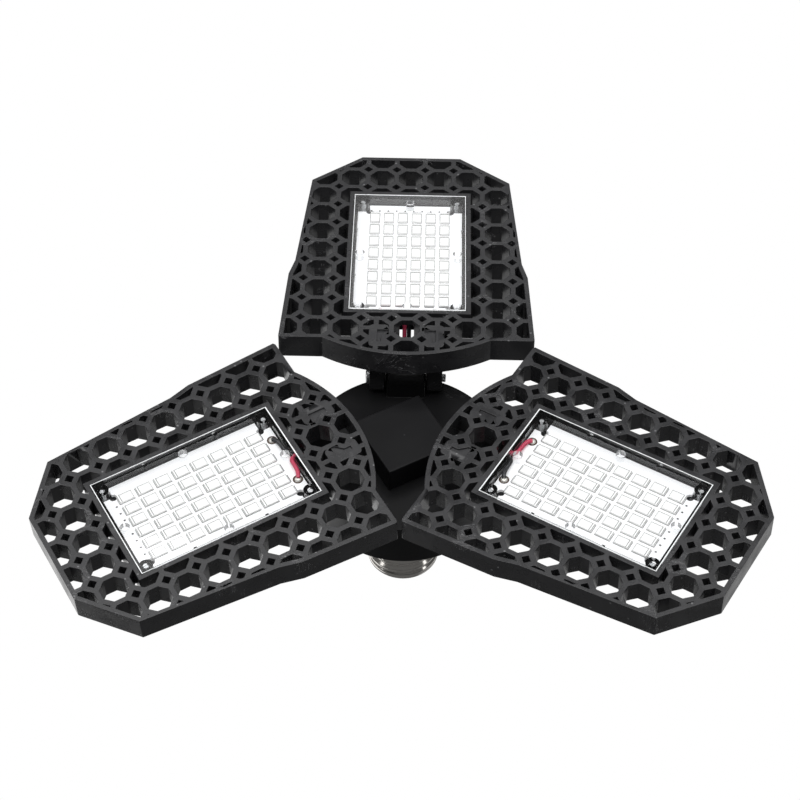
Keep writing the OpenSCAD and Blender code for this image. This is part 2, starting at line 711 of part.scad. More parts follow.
module hub_housing() {
    color(satin_black) difference() {
        union() {
            rotate_extrude($fn = 128) polygon([
                [shell_bore_r - fit_gap, spigot_bottom_z], [shell_bore_r - fit_gap, seat_z],
                [spigot_r - fit_gap, seat_z], [spigot_r - fit_gap, 0], [neck_r, 0], [neck_r, seat_h],
                [cone_top_r, drum_bottom_z], [drum_r - drum_chamfer, drum_bottom_z],
                [drum_r, drum_bottom_z + drum_chamfer], [drum_top_r, housing_top_z],
                [drum_top_r - housing_wall, housing_top_z], [drum_r - housing_wall, shoulder_z],
                [cone_top_r - housing_wall, shoulder_z], [shell_bore_r - housing_wall, seat_h + housing_wall],
                [shell_bore_r - housing_wall, spigot_bottom_z]]);
            for (a = panel_angle) rotate(a) translate([0, driver_board_r - standoff_r, shoulder_z - 0.5])
                cylinder(r = standoff_r, h = standoff_h + 0.5, $fn = 32);
        }
        at_hub_screws() translate([0, 0, drum_bottom_z - 1]) {
            cylinder(r = hub_screw_r + hole_gap, h = housing_wall + 2, $fn = 32);
            cylinder(r = hub_head_r + hole_gap, h = 1 + housing_wall / 2, $fn = 32);
        }
    }
}

module hub_screws() {
    color(steel) at_hub_screws() translate([0, 0, drum_bottom_z + housing_wall / 2]) {
        translate([0, 0, -hub_head_h]) difference() {
            cylinder(r = hub_head_r, h = hub_head_h, $fn = 32);
            translate([-0.3, -1.5, -1]) cube([0.6, 3, 1.8]);
            translate([-1.5, -0.3, -1]) cube([3, 0.6, 1.8]);
        }
        translate([0, 0, -touch]) cylinder(r = hub_screw_r, h = hub_screw_l, $fn = 32);
    }
}

module driver_cap() {
    color(satin_black) difference() {
        union() {
            square_turned(cap_side, disc_top_z, disc_top_z + cap_h);
            square_turned(cap_hole_side - 2 * cap_gap, disc_top_z - cap_lip, disc_top_z + 1);
        }
        square_turned(cap_hole_side - 2 * (cap_gap + cap_lip_wall), disc_top_z - cap_lip - 1,
            disc_top_z + cap_h - cap_wall);
    }
}

// Screw base
function fade(z) = min(1, (-collar_l - z) / thread_pitch, (z - thread_bottom_z) / thread_pitch);
function thread_r(a, z) = thread_crest_r - thread_depth / 2
    + thread_depth / 2 * max(0, fade(z)) * cos(360 * z / thread_pitch - a);
module thread_body() {
    count = round(thread_turns * thread_rings);
    levels = [for (k = [0:count]) thread_bottom_z + thread_l * k / count];
    points = [for (z = levels, s = [0:thread_sides - 1]) let (a = 360 * s / thread_sides, r = thread_r(a, z))
        [r * cos(a), r * sin(a), z]];
    walls = [for (k = [0:count - 1], s = [0:thread_sides - 1])
        let (a = k * thread_sides + s, b = k * thread_sides + (s + 1) % thread_sides)
        each [[a, a + thread_sides, b], [b, a + thread_sides, b + thread_sides]]];
    ends = [for (s = [1:thread_sides - 2]) each [[0, s, s + 1],
        [count * thread_sides, count * thread_sides + s + 1, count * thread_sides + s]]];
    polyhedron(points, concat(walls, ends));
}

module screw_shell() {
    color(nickel) difference() {
        union() {
            translate([0, 0, -collar_l]) cylinder(r = collar_r, h = collar_l, $fn = 128);
            thread_body();
            translate([0, 0, shell_bottom_z])
                cylinder(r1 = curl_r, r2 = thread_crest_r - thread_depth, h = curl_l + 0.2, $fn = 96);
        }
        translate([0, 0, seat_z]) cylinder(r = spigot_r, h = collar_l + 1, $fn = 128);
        translate([0, 0, thread_bottom_z]) cylinder(r = shell_bore_r, h = thread_l + 1, $fn = 128);
        translate([0, 0, shell_bottom_z - 1]) cylinder(r = curl_r - shell_wall, h = curl_l + 2, $fn = 96);
    }
}

module shell_insulator() {
    color(black_plastic) rotate_extrude($fn = 96) polygon([
        [insulator_hole_r, tip_z + contact_h], [contact_r + insulator_step, tip_z + contact_h],
        [curl_r - shell_wall, shell_bottom_z - insulator_gap],
        [curl_r - shell_wall, shell_bottom_z + insulator_in],
        [insulator_hole_r, shell_bottom_z + insulator_in]]);
}

module centre_contact() {
    color(nickel) translate([0, 0, tip_z]) {
        cylinder(r1 = contact_r - 1, r2 = contact_r, h = contact_h / 2, $fn = 64);
        translate([0, 0, contact_h / 2]) cylinder(r = contact_r, h = contact_h / 2, $fn = 64);
    }
}

// Driver
module driver_board() {
    color(board_green) translate([0, 0, driver_board_z]) cylinder(r = driver_board_r, h = driver_board_t, $fn = 96);
}

capacitor_at = [0.8, -0.6];
choke_at = [-10, 8];
rectifier_at = [-9, -11];
resistor_at = [12, 7];
module filter_capacitor() {
    color("navy") translate([capacitor_at.x, capacitor_at.y, driver_top_z])
        cylinder(r = capacitor_r, h = capacitor_h, $fn = 48);
}

choke_r = 5;
choke_core_r = 2.4;
choke_h = 8;
choke_flange = 1;
module choke_core() {
    color(ferrite) translate([choke_at.x, choke_at.y, driver_top_z]) {
        cylinder(r = choke_r, h = choke_flange, $fn = 48);
        cylinder(r = choke_core_r, h = choke_h, $fn = 48);
        translate([0, 0, choke_h - choke_flange]) cylinder(r = choke_r, h = choke_flange, $fn = 48);
    }
}

module choke_winding() {
    color(copper) translate([choke_at.x, choke_at.y, driver_top_z + choke_flange + fit_gap]) difference() {
        cylinder(r = choke_r - 0.8, h = choke_h - 2 * choke_flange - 2 * fit_gap, $fn = 48);
        translate([0, 0, -1]) cylinder(r = choke_core_r + fit_gap, h = choke_h, $fn = 48);
    }
}

module bridge_rectifier() {
    color(black_plastic) translate([rectifier_at.x - 4.2, rectifier_at.y - 3.2, driver_top_z]) cube([8.4, 6.4, 2.6]);
}

module fusible_resistor() {
    color("darkseagreen") translate([resistor_at.x, resistor_at.y, driver_top_z + 1.8]) rotate([90, 0, 0])
        cylinder(r = 1.8, h = 9, center = true, $fn = 32);
}

// Routes of the two mains leads, from the screw base up to the underside of the driver board
module live_lead() {
    color(lead_red_colour) tube([[2, -8, driver_board_z - lead_end_gap], [2.2, -8, shoulder_z - 2],
        [2.4, -5, seat_h + 1], [2, -2, 2 * seat_z], [1.2, -0.6, thread_bottom_z + insulator_in + 1],
        [1, 0, shell_bottom_z + insulator_in + lead_end_gap]], lead_d);
}

module neutral_lead() {
    end_r = shell_bore_r - lead_d / 2 - fit_gap;
    color(lead_black_colour) tube([[-2, -8, driver_board_z - lead_end_gap], [-3.2, -7.4, shoulder_z - 3],
        [-5.6, -5, seat_h + 1], [housing_wall + 2 - shell_bore_r, -2, spigot_bottom_z],
        [1 - end_r, -1, spigot_bottom_z - 3], [-end_r, 0, spigot_bottom_z - 5]], lead_d);
}

// A point on the middle line of the slanted channel in a barrel, t along it from the hinge's level
function in_channel(s, t) = [s * lead_x,
    hinge_radius + channel_mid * cos(channel_slant) + t * sin(channel_slant),
    hinge_z - channel_mid * sin(channel_slant) + t * cos(channel_slant)];

// Route of a hub lead from the driver board's edge up the channel in a barrel
function hub_route(s) = let (low = in_channel(s, -10.5), board_y = driver_board_r - 2 * lead_d) [
    [s * 2.6, board_y, driver_top_z + lead_end_gap], [s * 2.4, board_y, driver_top_z + 2 * lead_d],
    [s * 1.6, low.y - 2.2 * lead_d, low.z - 3 * lead_d], low,
    in_channel(s, -6), in_channel(s, 0), in_channel(s, barrel_r - 0.9)];

module hub_leads_red() {
    color(lead_red_colour) for (a = panel_angle) rotate(a) tube(hub_route(-1), lead_d);
}

module hub_leads_black() {
    color(lead_black_colour) for (a = panel_angle) rotate(a) tube(hub_route(1), lead_d);
}

screw_shell();
shell_insulator();
centre_contact();
hub_housing();
hub_cover();
driver_cap();
driver_board();
filter_capacitor();
choke_core();
choke_winding();
bridge_rectifier();
fusible_resistor();
hub_screws();
live_lead();
neutral_lead();
hub_leads_red();
hub_leads_black();
for (n = [1:3]) {
    panel_frame(n);
    heat_pad(n);
    led_board(n);
    light_chips(n);
    solder_joints(n);
    lens_cover(n);
    cover_screws(n);
    hinge_screw(n);
    hinge_nut(n);
    hinge_washers(n);
    lead_red(n);
    lead_black(n);
}
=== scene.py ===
import json
import math

import bmesh
import bpy
from bpy.props import FloatProperty, FloatVectorProperty, IntProperty, PointerProperty
from mathutils import Matrix, Vector
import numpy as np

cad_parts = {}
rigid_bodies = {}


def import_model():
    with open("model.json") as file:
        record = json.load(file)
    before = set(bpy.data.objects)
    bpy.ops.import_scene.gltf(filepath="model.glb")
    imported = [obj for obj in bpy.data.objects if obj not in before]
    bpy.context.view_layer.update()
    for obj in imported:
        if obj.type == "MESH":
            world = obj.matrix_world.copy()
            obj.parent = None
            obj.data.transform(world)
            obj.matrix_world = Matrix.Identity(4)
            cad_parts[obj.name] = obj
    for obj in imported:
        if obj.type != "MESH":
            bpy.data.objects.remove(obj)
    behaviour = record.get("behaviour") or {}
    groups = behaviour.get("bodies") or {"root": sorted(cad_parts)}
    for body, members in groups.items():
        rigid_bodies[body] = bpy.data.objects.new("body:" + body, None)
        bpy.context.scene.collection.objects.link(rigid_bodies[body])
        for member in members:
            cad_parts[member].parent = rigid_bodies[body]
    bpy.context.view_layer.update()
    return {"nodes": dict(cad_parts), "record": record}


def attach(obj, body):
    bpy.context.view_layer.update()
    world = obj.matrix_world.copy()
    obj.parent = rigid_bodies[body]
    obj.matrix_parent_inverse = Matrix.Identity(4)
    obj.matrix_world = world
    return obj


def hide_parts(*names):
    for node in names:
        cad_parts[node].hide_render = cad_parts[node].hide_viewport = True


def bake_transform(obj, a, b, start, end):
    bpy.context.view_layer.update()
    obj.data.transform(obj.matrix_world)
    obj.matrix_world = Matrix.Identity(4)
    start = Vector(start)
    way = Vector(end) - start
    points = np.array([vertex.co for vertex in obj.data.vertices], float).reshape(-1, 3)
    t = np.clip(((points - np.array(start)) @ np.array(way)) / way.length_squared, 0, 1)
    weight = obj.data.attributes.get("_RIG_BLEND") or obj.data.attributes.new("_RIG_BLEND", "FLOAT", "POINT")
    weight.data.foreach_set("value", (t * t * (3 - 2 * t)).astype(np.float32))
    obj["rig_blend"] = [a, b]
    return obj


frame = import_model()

bl_info = {
    "name": "Folding LED grow light",
    "version": (1, 0, 0),
    "blender": (4, 5, 0),
    "location": "View3D > Sidebar > Grow light",
    "description": "Builds a folding three-panel grow light round its joints",
    "category": "Add Mesh",
}

# Shapes are cut in millimetres and made metres at the end, because fine cuts are lost at metre scale.
MM = 1000.0
PANELS = (1, 2, 3)
# A panel at its lift stop stands this far above level.
LIFT_STOP = math.radians(1.2)
# Solids that cut or are cut reach this far past each other, in millimetres.
PAST = 1.0


# ---- Sizes and colours ----

def size(name, text, millimetres, least=0.0, most=1000.0):
    return FloatProperty(name=name, description=text, default=millimetres / MM, min=least / MM, max=most / MM,
                         precision=5, unit="LENGTH", subtype="DISTANCE")


def count(name, text, number, least=1, most=64):
    return IntProperty(name=name, description=text, default=number, min=least, max=most)


def colour(name, text, red, green, blue):
    return FloatVectorProperty(name=name, description=text, default=(red, green, blue), size=3, min=0.0, max=1.0,
                               subtype="COLOR")


def share(name, text, number, most=1.0):
    return FloatProperty(name=name, description=text, default=number, min=0.0, max=most, subtype="FACTOR")


class LatticePanel(bpy.types.PropertyGroup):
    thickness: size("Thickness", "Thickness of a panel's lattice plate", 9.0)
    reach: size("Reach", "Distance from the hinge axis to the outer edge", 98.2)
    outer_edge: size("Outer edge", "Width of the outer edge", 36.4)
    chamfer_length: size("Chamfer length", "Length of each outer chamfer along the panel", 14.3)
    chamfer_width: size("Chamfer width", "Width where the chamfers end", 72.6)
    flare_outer_y: size("Flare end", "Distance from the hinge axis to the outer end of the side flare", 37.5)
    flare_outer_width: size("Flare end width", "Width at the outer end of the side flare", 80.2)
    flare_inner_y: size("Flare start", "Distance from the hinge axis to the inner end of the side flare", 30.0)
    flare_inner_width: size("Flare start width", "Width at the inner end of the side flare", 84.1)
    hub_edge_width: size("Hub edge", "Width of the edge that faces the hub", 87.6)
    hub_edge_back: size("Hub edge setback", "Distance from the hinge axis back to the hub edge", 3.5)
    corner_cut: size("Corner cut", "Depth of the small cut on each hub corner", 0.47)
    bulge_width: size("Bulge width", "Width of the curved bulge on the hub edge", 57.6)
    bulge_depth: size("Bulge depth", "Depth of the curved bulge", 8.1)
    face_height: size("Face height", "Height of the lit face above the hinge axis", 21.0)
    cell_pitch: size("Cell pitch", "Distance between neighbouring cells", 10.5)
    cell_flats: size("Cell width", "Width of an eight-sided cell across its flats", 8.7)
    square_side: size("Square side", "Side of a small square cell", 2.349)
    first_row: size("First row", "Distance from the hinge axis to the first full row of cells", 1.7)
    rim: size("Rim", "Width of the solid rim round the lattice", 1.65)
    side_rim: size("Side rim", "Width of the solid rim along the sides beyond the flare", 1.3)
    web_recess: size("Web recess", "Depth of the hollow under the webs, inside the rim", 1.2)
    web: size("Web", "Thickness of the webs between eight-sided cells", 1.8)
    slot_row: count("Slot row", "Row whose outermost cells are only slots", 5, 0)
    slot_width: size("Slot width", "Width of an edge slot", 0.55)
    slot_length: size("Slot length", "Length of an edge slot", 3.2)
    slot_inset: size("Slot inset", "Distance from the side to an edge slot's middle", 1.1)
    pad_back: size("Pad back", "Reach of the hinge pads towards the hub", 7.5)
    pad_front: size("Pad front", "Reach of the hinge pads away from the hub", 3.75)
    pad_corner: size("Pad corners", "Radius of the pads' corners", 1.5)
    pad_recess: size("Pad recess", "Depth of the recess in each pad's face", 0.7)
    edge_round: size("Edge rounding", "Width of the rounding on the webs' edges", 0.14)


class LightWindow(bpy.types.PropertyGroup):
    middle: size("Middle", "Distance from the hinge axis to the middle of the window", 43.7)
    cover_width: size("Cover width", "Width of the clear cover", 40.5)
    cover_length: size("Cover length", "Length of the clear cover", 64.0)
    cover_gap: size("Cover gap", "Gap round the clear cover in its pocket", 0.2)
    rim: size("Window rim", "Width of the solid rim round the window", 1.6)
    pocket_depth: size("Pocket depth", "Depth of the window pocket", 5.7)
    boss_x: size("Boss x", "Distance of a corner boss from the middle, across", 17.2)
    boss_y: size("Boss y", "Distance of a corner boss from the middle, along", 29.4)
    board_width: size("Board width", "Width of the light board", 38.0)
    board_length: size("Board length", "Length of the light board", 61.0)
    board_thickness: size("Board thickness", "Thickness of the light board", 1.2)
    pad_thickness: size("Pad thickness", "Thickness of the heat-conducting pad", 0.3)
    notch_x: size("Notch width", "Width of the board's corner notches", 4.3)
    notch_y: size("Notch length", "Length of the board's corner notches", 3.7)
    chips_across: count("Chips across", "Number of light chips across a board", 6)
    chips_along: count("Chips along", "Number of light chips along a board", 8)
    chip_pitch_x: size("Chip pitch across", "Distance between chips across the board", 5.06)
    chip_pitch_y: size("Chip pitch along", "Distance between chips along the board", 6.65)
    chip_width: size("Chip width", "Width of a light chip", 3.4)
    chip_length: size("Chip length", "Length of a light chip", 5.3)
    chip_height: size("Chip height", "Height of a light chip", 0.8)
    joint_x: size("Joint x", "Distance of a solder joint from the board's middle line", 9.4)
    joint_inset: size("Joint inset", "Distance of a solder joint from the board's hub end", 1.9)
    lead_diameter: size("Lead diameter", "Diameter of the insulated leads", 1.5)


class Hinge(bpy.types.PropertyGroup):
    lug_radius: size("Lug radius", "Radius of the round end of a panel's lugs", 4.7)
    lug_inner: size("Lug inner face", "Distance from a panel's middle to the inner face of a lug", 7.5)
    lug_outer: size("Lug outer face", "Distance from a panel's middle to the outer face of a lug", 12.6)
    screw_radius: size("Screw radius", "Radius of the hinge screw", 1.5)
    bore_radius: size("Bore radius", "Radius of the bore that the hinge screw runs in", 1.56)
    head_radius: size("Head radius", "Radius of the hinge screw's head", 2.75)
    head_height: size("Head height", "Height of the hinge screw's head", 1.4)
    screw_end: size("Screw end", "Length of the screw's end outside the lug", 1.3)
    nut_flats: size("Nut width", "Width of the nut across its flats", 5.5)
    nut_height: size("Nut height", "Height of the nut", 2.4)
    washer_radius: size("Washer radius", "Radius of a hinge washer", 3.5)
    washer_thickness: size("Washer thickness", "Thickness of a hinge washer", 0.7)
    barrel_radius: size("Barrel radius", "Radius of the hub's hinge barrels", 4.5)


class Hub(bpy.types.PropertyGroup):
    screw_ring: size("Screw ring", "Distance from the axis to the hub screws", 26.9)
    screw_seat: size("Screw seat", "Height of the hub screws' seats", 15.7)
    screw_radius: size("Screw radius", "Radius of the hub screws", 1.25)
    screw_length: size("Screw length", "Length of the hub screws", 9.0)
    head_radius: size("Head radius", "Radius of a hub screw's head", 2.4)
    head_height: size("Head height", "Height of a hub screw's head", 1.8)
    edge_round: size("Edge rounding", "Width of the rounding on the hub's edges", 0.4)


class ScrewBase(bpy.types.PropertyGroup):
    collar_radius: size("Collar radius", "Radius of the plain collar", 13.2)
    collar_length: size("Collar length", "Length of the plain collar", 4.0)
    crest_radius: size("Crest radius", "Radius of the thread's crests", 13.1)
    thread_depth: size("Thread depth", "Depth of the thread", 0.95)
    thread_pitch: size("Thread pitch", "Pitch of the thread", 3.629)
    thread_turns: FloatProperty(name="Thread turns", description="Number of thread turns", default=4.5, min=2.0,
                                max=6.0)
    curl_length: size("Curl length", "Length of the curled end of the shell", 1.6)
    curl_inset: size("Curl inset", "How far the curled end draws in", 1.25)
    wall: size("Wall", "Wall thickness of the screw shell", 0.5)


class Finishes(bpy.types.PropertyGroup):
    frame_black: colour("Frame black", "Satin paint of the panels and the hub's top", 0.0125, 0.0125, 0.0132)
    moulding_black: colour("Moulding black", "Black moulded plastic of the housing", 0.010, 0.010, 0.0108)
    board_white: colour("Board white", "White mask on the light boards", 0.90, 0.90, 0.905)
    chip_white: colour("Chip white", "White body of a light chip", 0.90, 0.895, 0.88)
    phosphor: colour("Phosphor", "Pale window of a light chip", 0.92, 0.918, 0.90)
    lead_red: colour("Lead red", "Insulation of the red leads", 0.58, 0.05, 0.11)
    lead_black: colour("Lead black", "Insulation of the black leads", 0.012, 0.012, 0.014)
    nickel: colour("Nickel", "Plating of the screw base", 0.68, 0.655, 0.62)
    zinc: colour("Zinc", "Plating of the screws and nuts", 0.55, 0.56, 0.57)
    frame_roughness: share("Frame roughness", "Roughness of the satin paint", 0.33)
    moulding_roughness: share("Moulding roughness", "Roughness of the black moulding", 0.36)


class Studio(bpy.types.PropertyGroup):
    azimuth: FloatProperty(name="Azimuth", description="Camera's turn about the lamp", default=math.radians(0.8429),
                           unit="ROTATION", subtype="ANGLE")
    elevation: FloatProperty(name="Elevation", description="Camera's height as an angle", default=math.radians(49.3252),
                             unit="ROTATION", subtype="ANGLE")
    roll: FloatProperty(name="Roll", description="Camera's roll", default=math.radians(-0.5294),
                        unit="ROTATION", subtype="ANGLE")
    distance: size("Distance", "Distance from the camera to the lamp", 766.0, 100.0, 5000.0)
    aim_height: size("Aim height", "Height on the lamp's axis that the camera aims at", 62.3)
    aside: size("Aside", "How far the camera stands to the right", -1.556, -50.0, 50.0)
    above: size("Above", "How far the camera stands above its line", 0.191, -50.0, 50.0)
    lens: FloatProperty(name="Lens", description="Focal length on a 36 mm sensor, in millimetres", default=103.5)
    floor_drop: size("Floor", "Depth of the floor under the lamp's origin", 350.0, 0.0, 2000.0)
    sky: share("Sky", "Brightness of the surroundings as the lamp mirrors them", 0.13)
    floor_tone: share("Floor tone", "Reflectance of the floor as the lamp mirrors it", 0.16)
    overhead: share("Overhead light", "Radiance of the softbox above the lamp", 2.4, 20.0)
    strip: share("Side light", "Radiance of the strip light at the left", 1.6, 20.0)
    glow: share("Low light", "Radiance of the bright patch of floor at the left", 1.1, 20.0)


GROUPS = (("lamp_panel", LatticePanel), ("lamp_window", LightWindow), ("lamp_hinge", Hinge), ("lamp_hub", Hub),
          ("lamp_base", ScrewBase), ("lamp_finishes", Finishes), ("lamp_studio", Studio))


# ---- Mesh helpers ----

def new_mesh(name, points, faces):
    mesh = bpy.data.meshes.new(name)
    mesh.from_pydata([tuple(p) for p in points], [], faces)
    mesh.validate()
    return mesh


def joined(name, meshes):
    whole = bmesh.new()
    for mesh in meshes:
        whole.from_mesh(mesh)
    result = bpy.data.meshes.new(name)
    whole.to_mesh(result)
    whole.free()
    return result


def prism(outline, low, high, axis="z"):
    """A solid on an outline: drawn in x and y and pushed up z, or drawn in y and z and pushed along x."""
    n = len(outline)
    if axis == "z":
        points = [(x, y, low) for x, y in outline] + [(x, y, high) for x, y in outline]
    else:
        points = [(low, y, z) for y, z in outline] + [(high, y, z) for y, z in outline]
    walls = [(k, (k + 1) % n, n + (k + 1) % n, n + k) for k in range(n)]
    return outward(new_mesh("solid", points, walls + [tuple(range(n - 1, -1, -1)), tuple(range(n, 2 * n))]))


def block(x, y, z):
    return prism([(x[0], y[0]), (x[1], y[0]), (x[1], y[1]), (x[0], y[1])], z[0], z[1])


def ring(radius, sides, middle=(0.0, 0.0)):
    return [(middle[0] + radius * math.cos(math.tau * k / sides), middle[1] + radius * math.sin(math.tau * k / sides))
            for k in range(sides)]


def outward(mesh):
    """Makes a closed mesh's faces point outwards."""
    work = bmesh.new()
    work.from_mesh(mesh)
    bmesh.ops.recalc_face_normals(work, faces=work.faces)
    work.to_mesh(mesh)
    work.free()
    return mesh


def turned(name, profile, sides):
    """A solid of revolution about z from a closed profile of radius and height."""
    points, faces, n = [], [], len(profile)
    for k in range(sides):
        a = math.tau * k / sides
        points += [(r * math.cos(a), r * math.sin(a), z) for r, z in profile]
    for k in range(sides):
        m = (k + 1) % sides
        faces += [(k * n + i, m * n + i, m * n + (i + 1) % n, k * n + (i + 1) % n) for i in range(n)]
    mesh = new_mesh(name, points, faces)
    tidy_up(mesh, 1e-4)
    return outward(mesh)


def tidy_up(mesh, distance, flat=None):
    """Merges points closer than distance and, where flat is given, faces that lie in one plane."""
    work = bmesh.new()
    work.from_mesh(mesh)
    bmesh.ops.remove_doubles(work, verts=work.verts, dist=distance)
    bmesh.ops.dissolve_degenerate(work, dist=distance, edges=work.edges)
    if flat is not None:
        bmesh.ops.dissolve_limit(work, angle_limit=flat, use_dissolve_boundaries=False, verts=work.verts,
                                 edges=work.edges, delimit={"MATERIAL"})
    work.to_mesh(mesh)
    work.free()
    return mesh


def split_large(mesh):
    """Divides faces of many corners into triangles, which stay sound when edges are rounded."""
    most_corners = 5
    work = bmesh.new()
    work.from_mesh(mesh)
    bmesh.ops.triangulate(work, faces=[face for face in work.faces if len(face.verts) > most_corners])
    work.to_mesh(mesh)
    work.free()
    return mesh


def evaluated(holder):
    """The plain mesh of an object with its modifiers, which is then removed."""
    bpy.context.view_layer.update()
    result = bpy.data.meshes.new_from_object(holder.evaluated_get(bpy.context.evaluated_depsgraph_get()))
    source = holder.data
    bpy.data.objects.remove(holder)
    if source.users == 0:
        bpy.data.meshes.remove(source)
    if not result.vertices:
        raise RuntimeError("a shape came out empty")
    return result


def holder_for(mesh):
    holder = bpy.data.objects.new("work", mesh)
    bpy.context.scene.collection.objects.link(holder)
    return holder


def folder_for(label, meshes):
    """A collection that holds each of the meshes as an object."""
    folder = bpy.data.collections.new(label)
    bpy.context.scene.collection.children.link(folder)
    for mesh in meshes:
        folder.objects.link(bpy.data.objects.new(label, mesh))
    return folder


def rounded(mesh, width, segments=2, angle=35.0, finish=-1):
    """The mesh with its sharp edges rounded, their faces given the finish of that number."""
    split_large(mesh)
    for polygon in mesh.polygons:
        polygon.use_smooth = True
    while len(mesh.materials) <= finish:
        mesh.materials.append(None)
    holder = holder_for(mesh)
    bevel = holder.modifiers.new("Edges", "BEVEL")
    bevel.width = width
    bevel.segments = segments
    bevel.limit_method = "ANGLE"
    bevel.angle_limit = math.radians(angle)
    bevel.use_clamp_overlap = False
    bevel.loop_slide = False
    bevel.material = finish
    bevel.harden_normals = True
    bevel.miter_outer = "MITER_ARC" if segments > 2 else "MITER_SHARP"
    return evaluated(holder)


def carved(mesh, tool, tool_overlaps=False):
    """The mesh with another mesh's shape cut out of it."""
    cutter, holder = holder_for(tool), holder_for(mesh)
    cut = holder.modifiers.new("Cut", "BOOLEAN")
    cut.operation, cut.solver, cut.object, cut.use_self = "DIFFERENCE", "EXACT", cutter, tool_overlaps
    result = evaluated(holder)
    bpy.data.objects.remove(cutter)
    return result


def grown(mesh, tree, values):
    """What a geometry tree makes from a mesh, with the tree's named inputs set from values."""
    holder = holder_for(mesh)
    modifier = holder.modifiers.new("Shape", "NODES")
    modifier.node_group = tree
    for item in tree.interface.items_tree:
        if item.item_type == "SOCKET" and item.in_out == "INPUT" and item.name in values:
            modifier[item.identifier] = values[item.name]
    return evaluated(holder)


def in_metres(mesh):
    mesh.transform(Matrix.Scale(1.0 / MM, 4))
    return mesh


def shade(mesh, angle=35.0):
    for polygon in mesh.polygons:
        polygon.use_smooth = True
    mesh.set_sharp_from_angle(angle=math.radians(angle))
    return mesh


def cad_copy(node, flat=0.6):
    """A CAD node's mesh in millimetres, with its loose triangles merged into faces."""
    source = frame["nodes"][node]
    mesh = source.data.copy()
    mesh.materials.clear()
    mesh.transform(source.matrix_world)
    mesh.transform(Matrix.Scale(MM, 4))
    for layer in list(mesh.attributes):
        if layer.name in ("custom_normal", "sharp_face", "sharp_edge"):
            mesh.attributes.remove(layer)
    return tidy_up(mesh, 2e-3, math.radians(flat))


# ---- Where things are ----

def hinge(n):
    """Turn about the lamp's axis, hinge radius, hinge height and droop of panel n, from the frame's joints."""
    joint = next(j for j in frame["record"]["behaviour"]["joints"] if j["name"] == f"panel_hinge_{n}")
    place, axis = joint["pos_m"], joint["axis"]
    low = math.radians(joint["range_deg"][0])
    return (math.atan2(-axis[1], -axis[0]), math.hypot(place[0], place[1]), place[2], -LIFT_STOP - low)


def panel_place(n, scale=1.0):
    turn, radius, height, droop = hinge(n)
    return (Matrix.Rotation(turn, 4, "Z") @ Matrix.Translation((0.0, radius * scale, height * scale))
            @ Matrix.Rotation(-droop, 4, "X"))


def add_piece(name, mesh, body, nodes=(), materials=()):
    for number, material in enumerate(materials):
        if len(mesh.materials) > number:
            mesh.materials[number] = material
        else:
            mesh.materials.append(material)
    mesh.name = name
    piece = bpy.data.objects.new(name, mesh)
    bpy.context.scene.collection.objects.link(piece)
    if body:
        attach(piece, body)
    if nodes:
        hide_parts(*nodes)
    return piece


def add_to_panels(name, mesh, nodes=(), materials=()):
    """Puts a mesh drawn in a panel's own frame, in metres, on each of the three panels."""
    for n in PANELS:
        copy = mesh.copy()
        copy.transform(panel_place(n))
        add_piece(f"{name}_{n}", copy, f"panel_{n}", [f"{node}_{n}" for node in nodes], materials)
    bpy.data.meshes.remove(mesh)


def paint_node(node, name):
    """Gives a CAD node the finish of that name."""
    piece = frame["nodes"][node]
    piece.data.materials.clear()
    piece.data.materials.append(finish_named(name))


# ---- Node helpers ----

class Tree:
    """Adds nodes to a tree and links them."""

    def __init__(self, tree):
        self.tree = tree

    def add(self, kind, settings=None, **inputs):
        node = self.tree.nodes.new(kind)
        for key, value in (settings or {}).items():
            setattr(node, key, value)
        for key, value in inputs.items():
            self.feed(node, key.replace("_", " "), value)
        return node

    def feed(self, node, key, value):
        socket = key if isinstance(key, bpy.types.NodeSocket) else self.find(node.inputs, key)
        if isinstance(value, bpy.types.Node):
            value = next(s for s in value.outputs if s.enabled)
        if isinstance(value, bpy.types.NodeSocket):
            self.tree.links.new(value, socket)
        else:
            socket.default_value = value

    def find(self, sockets, key):
        if key.isdigit():
            return sockets[int(key)]
        for socket in sockets:
            if socket.enabled and socket.name.lower() == key.lower():
                return socket
        raise RuntimeError(f"no socket named {key}")

    def out(self, node, key):
        return self.find(node.outputs, key)

    def math(self, operation, a, b=None):
        node = self.tree.nodes.new("ShaderNodeMath")
        node.operation = operation
        self.feed(node, node.inputs[0], a)
        if b is not None:
            self.feed(node, node.inputs[1], b)
        return node.outputs[0]


def geometry_tree(name, inputs):
    tree = bpy.data.node_groups.new(name, "GeometryNodeTree")
    tree.interface.new_socket(name="Geometry", in_out="INPUT", socket_type="NodeSocketGeometry")
    for label, kind, default in inputs:
        socket = tree.interface.new_socket(name=label, in_out="INPUT", socket_type=f"NodeSocket{kind}")
        if default is not None:
            socket.default_value = default
    tree.interface.new_socket(name="Geometry", in_out="OUTPUT", socket_type="NodeSocketGeometry")
    work = Tree(tree)
    return work, work.add("NodeGroupInput"), work.add("NodeGroupOutput")


def finished_tree(work, given, result, geometry, finish):
    """Ends a tree in plain geometry with the finish of that input."""
    solid = work.add("GeometryNodeRealizeInstances", Geometry=geometry)
    painted = work.add("GeometryNodeSetMaterial", Geometry=solid, Material=work.out(given, finish))
    work.feed(result, result.inputs[0], painted)
    return work.tree


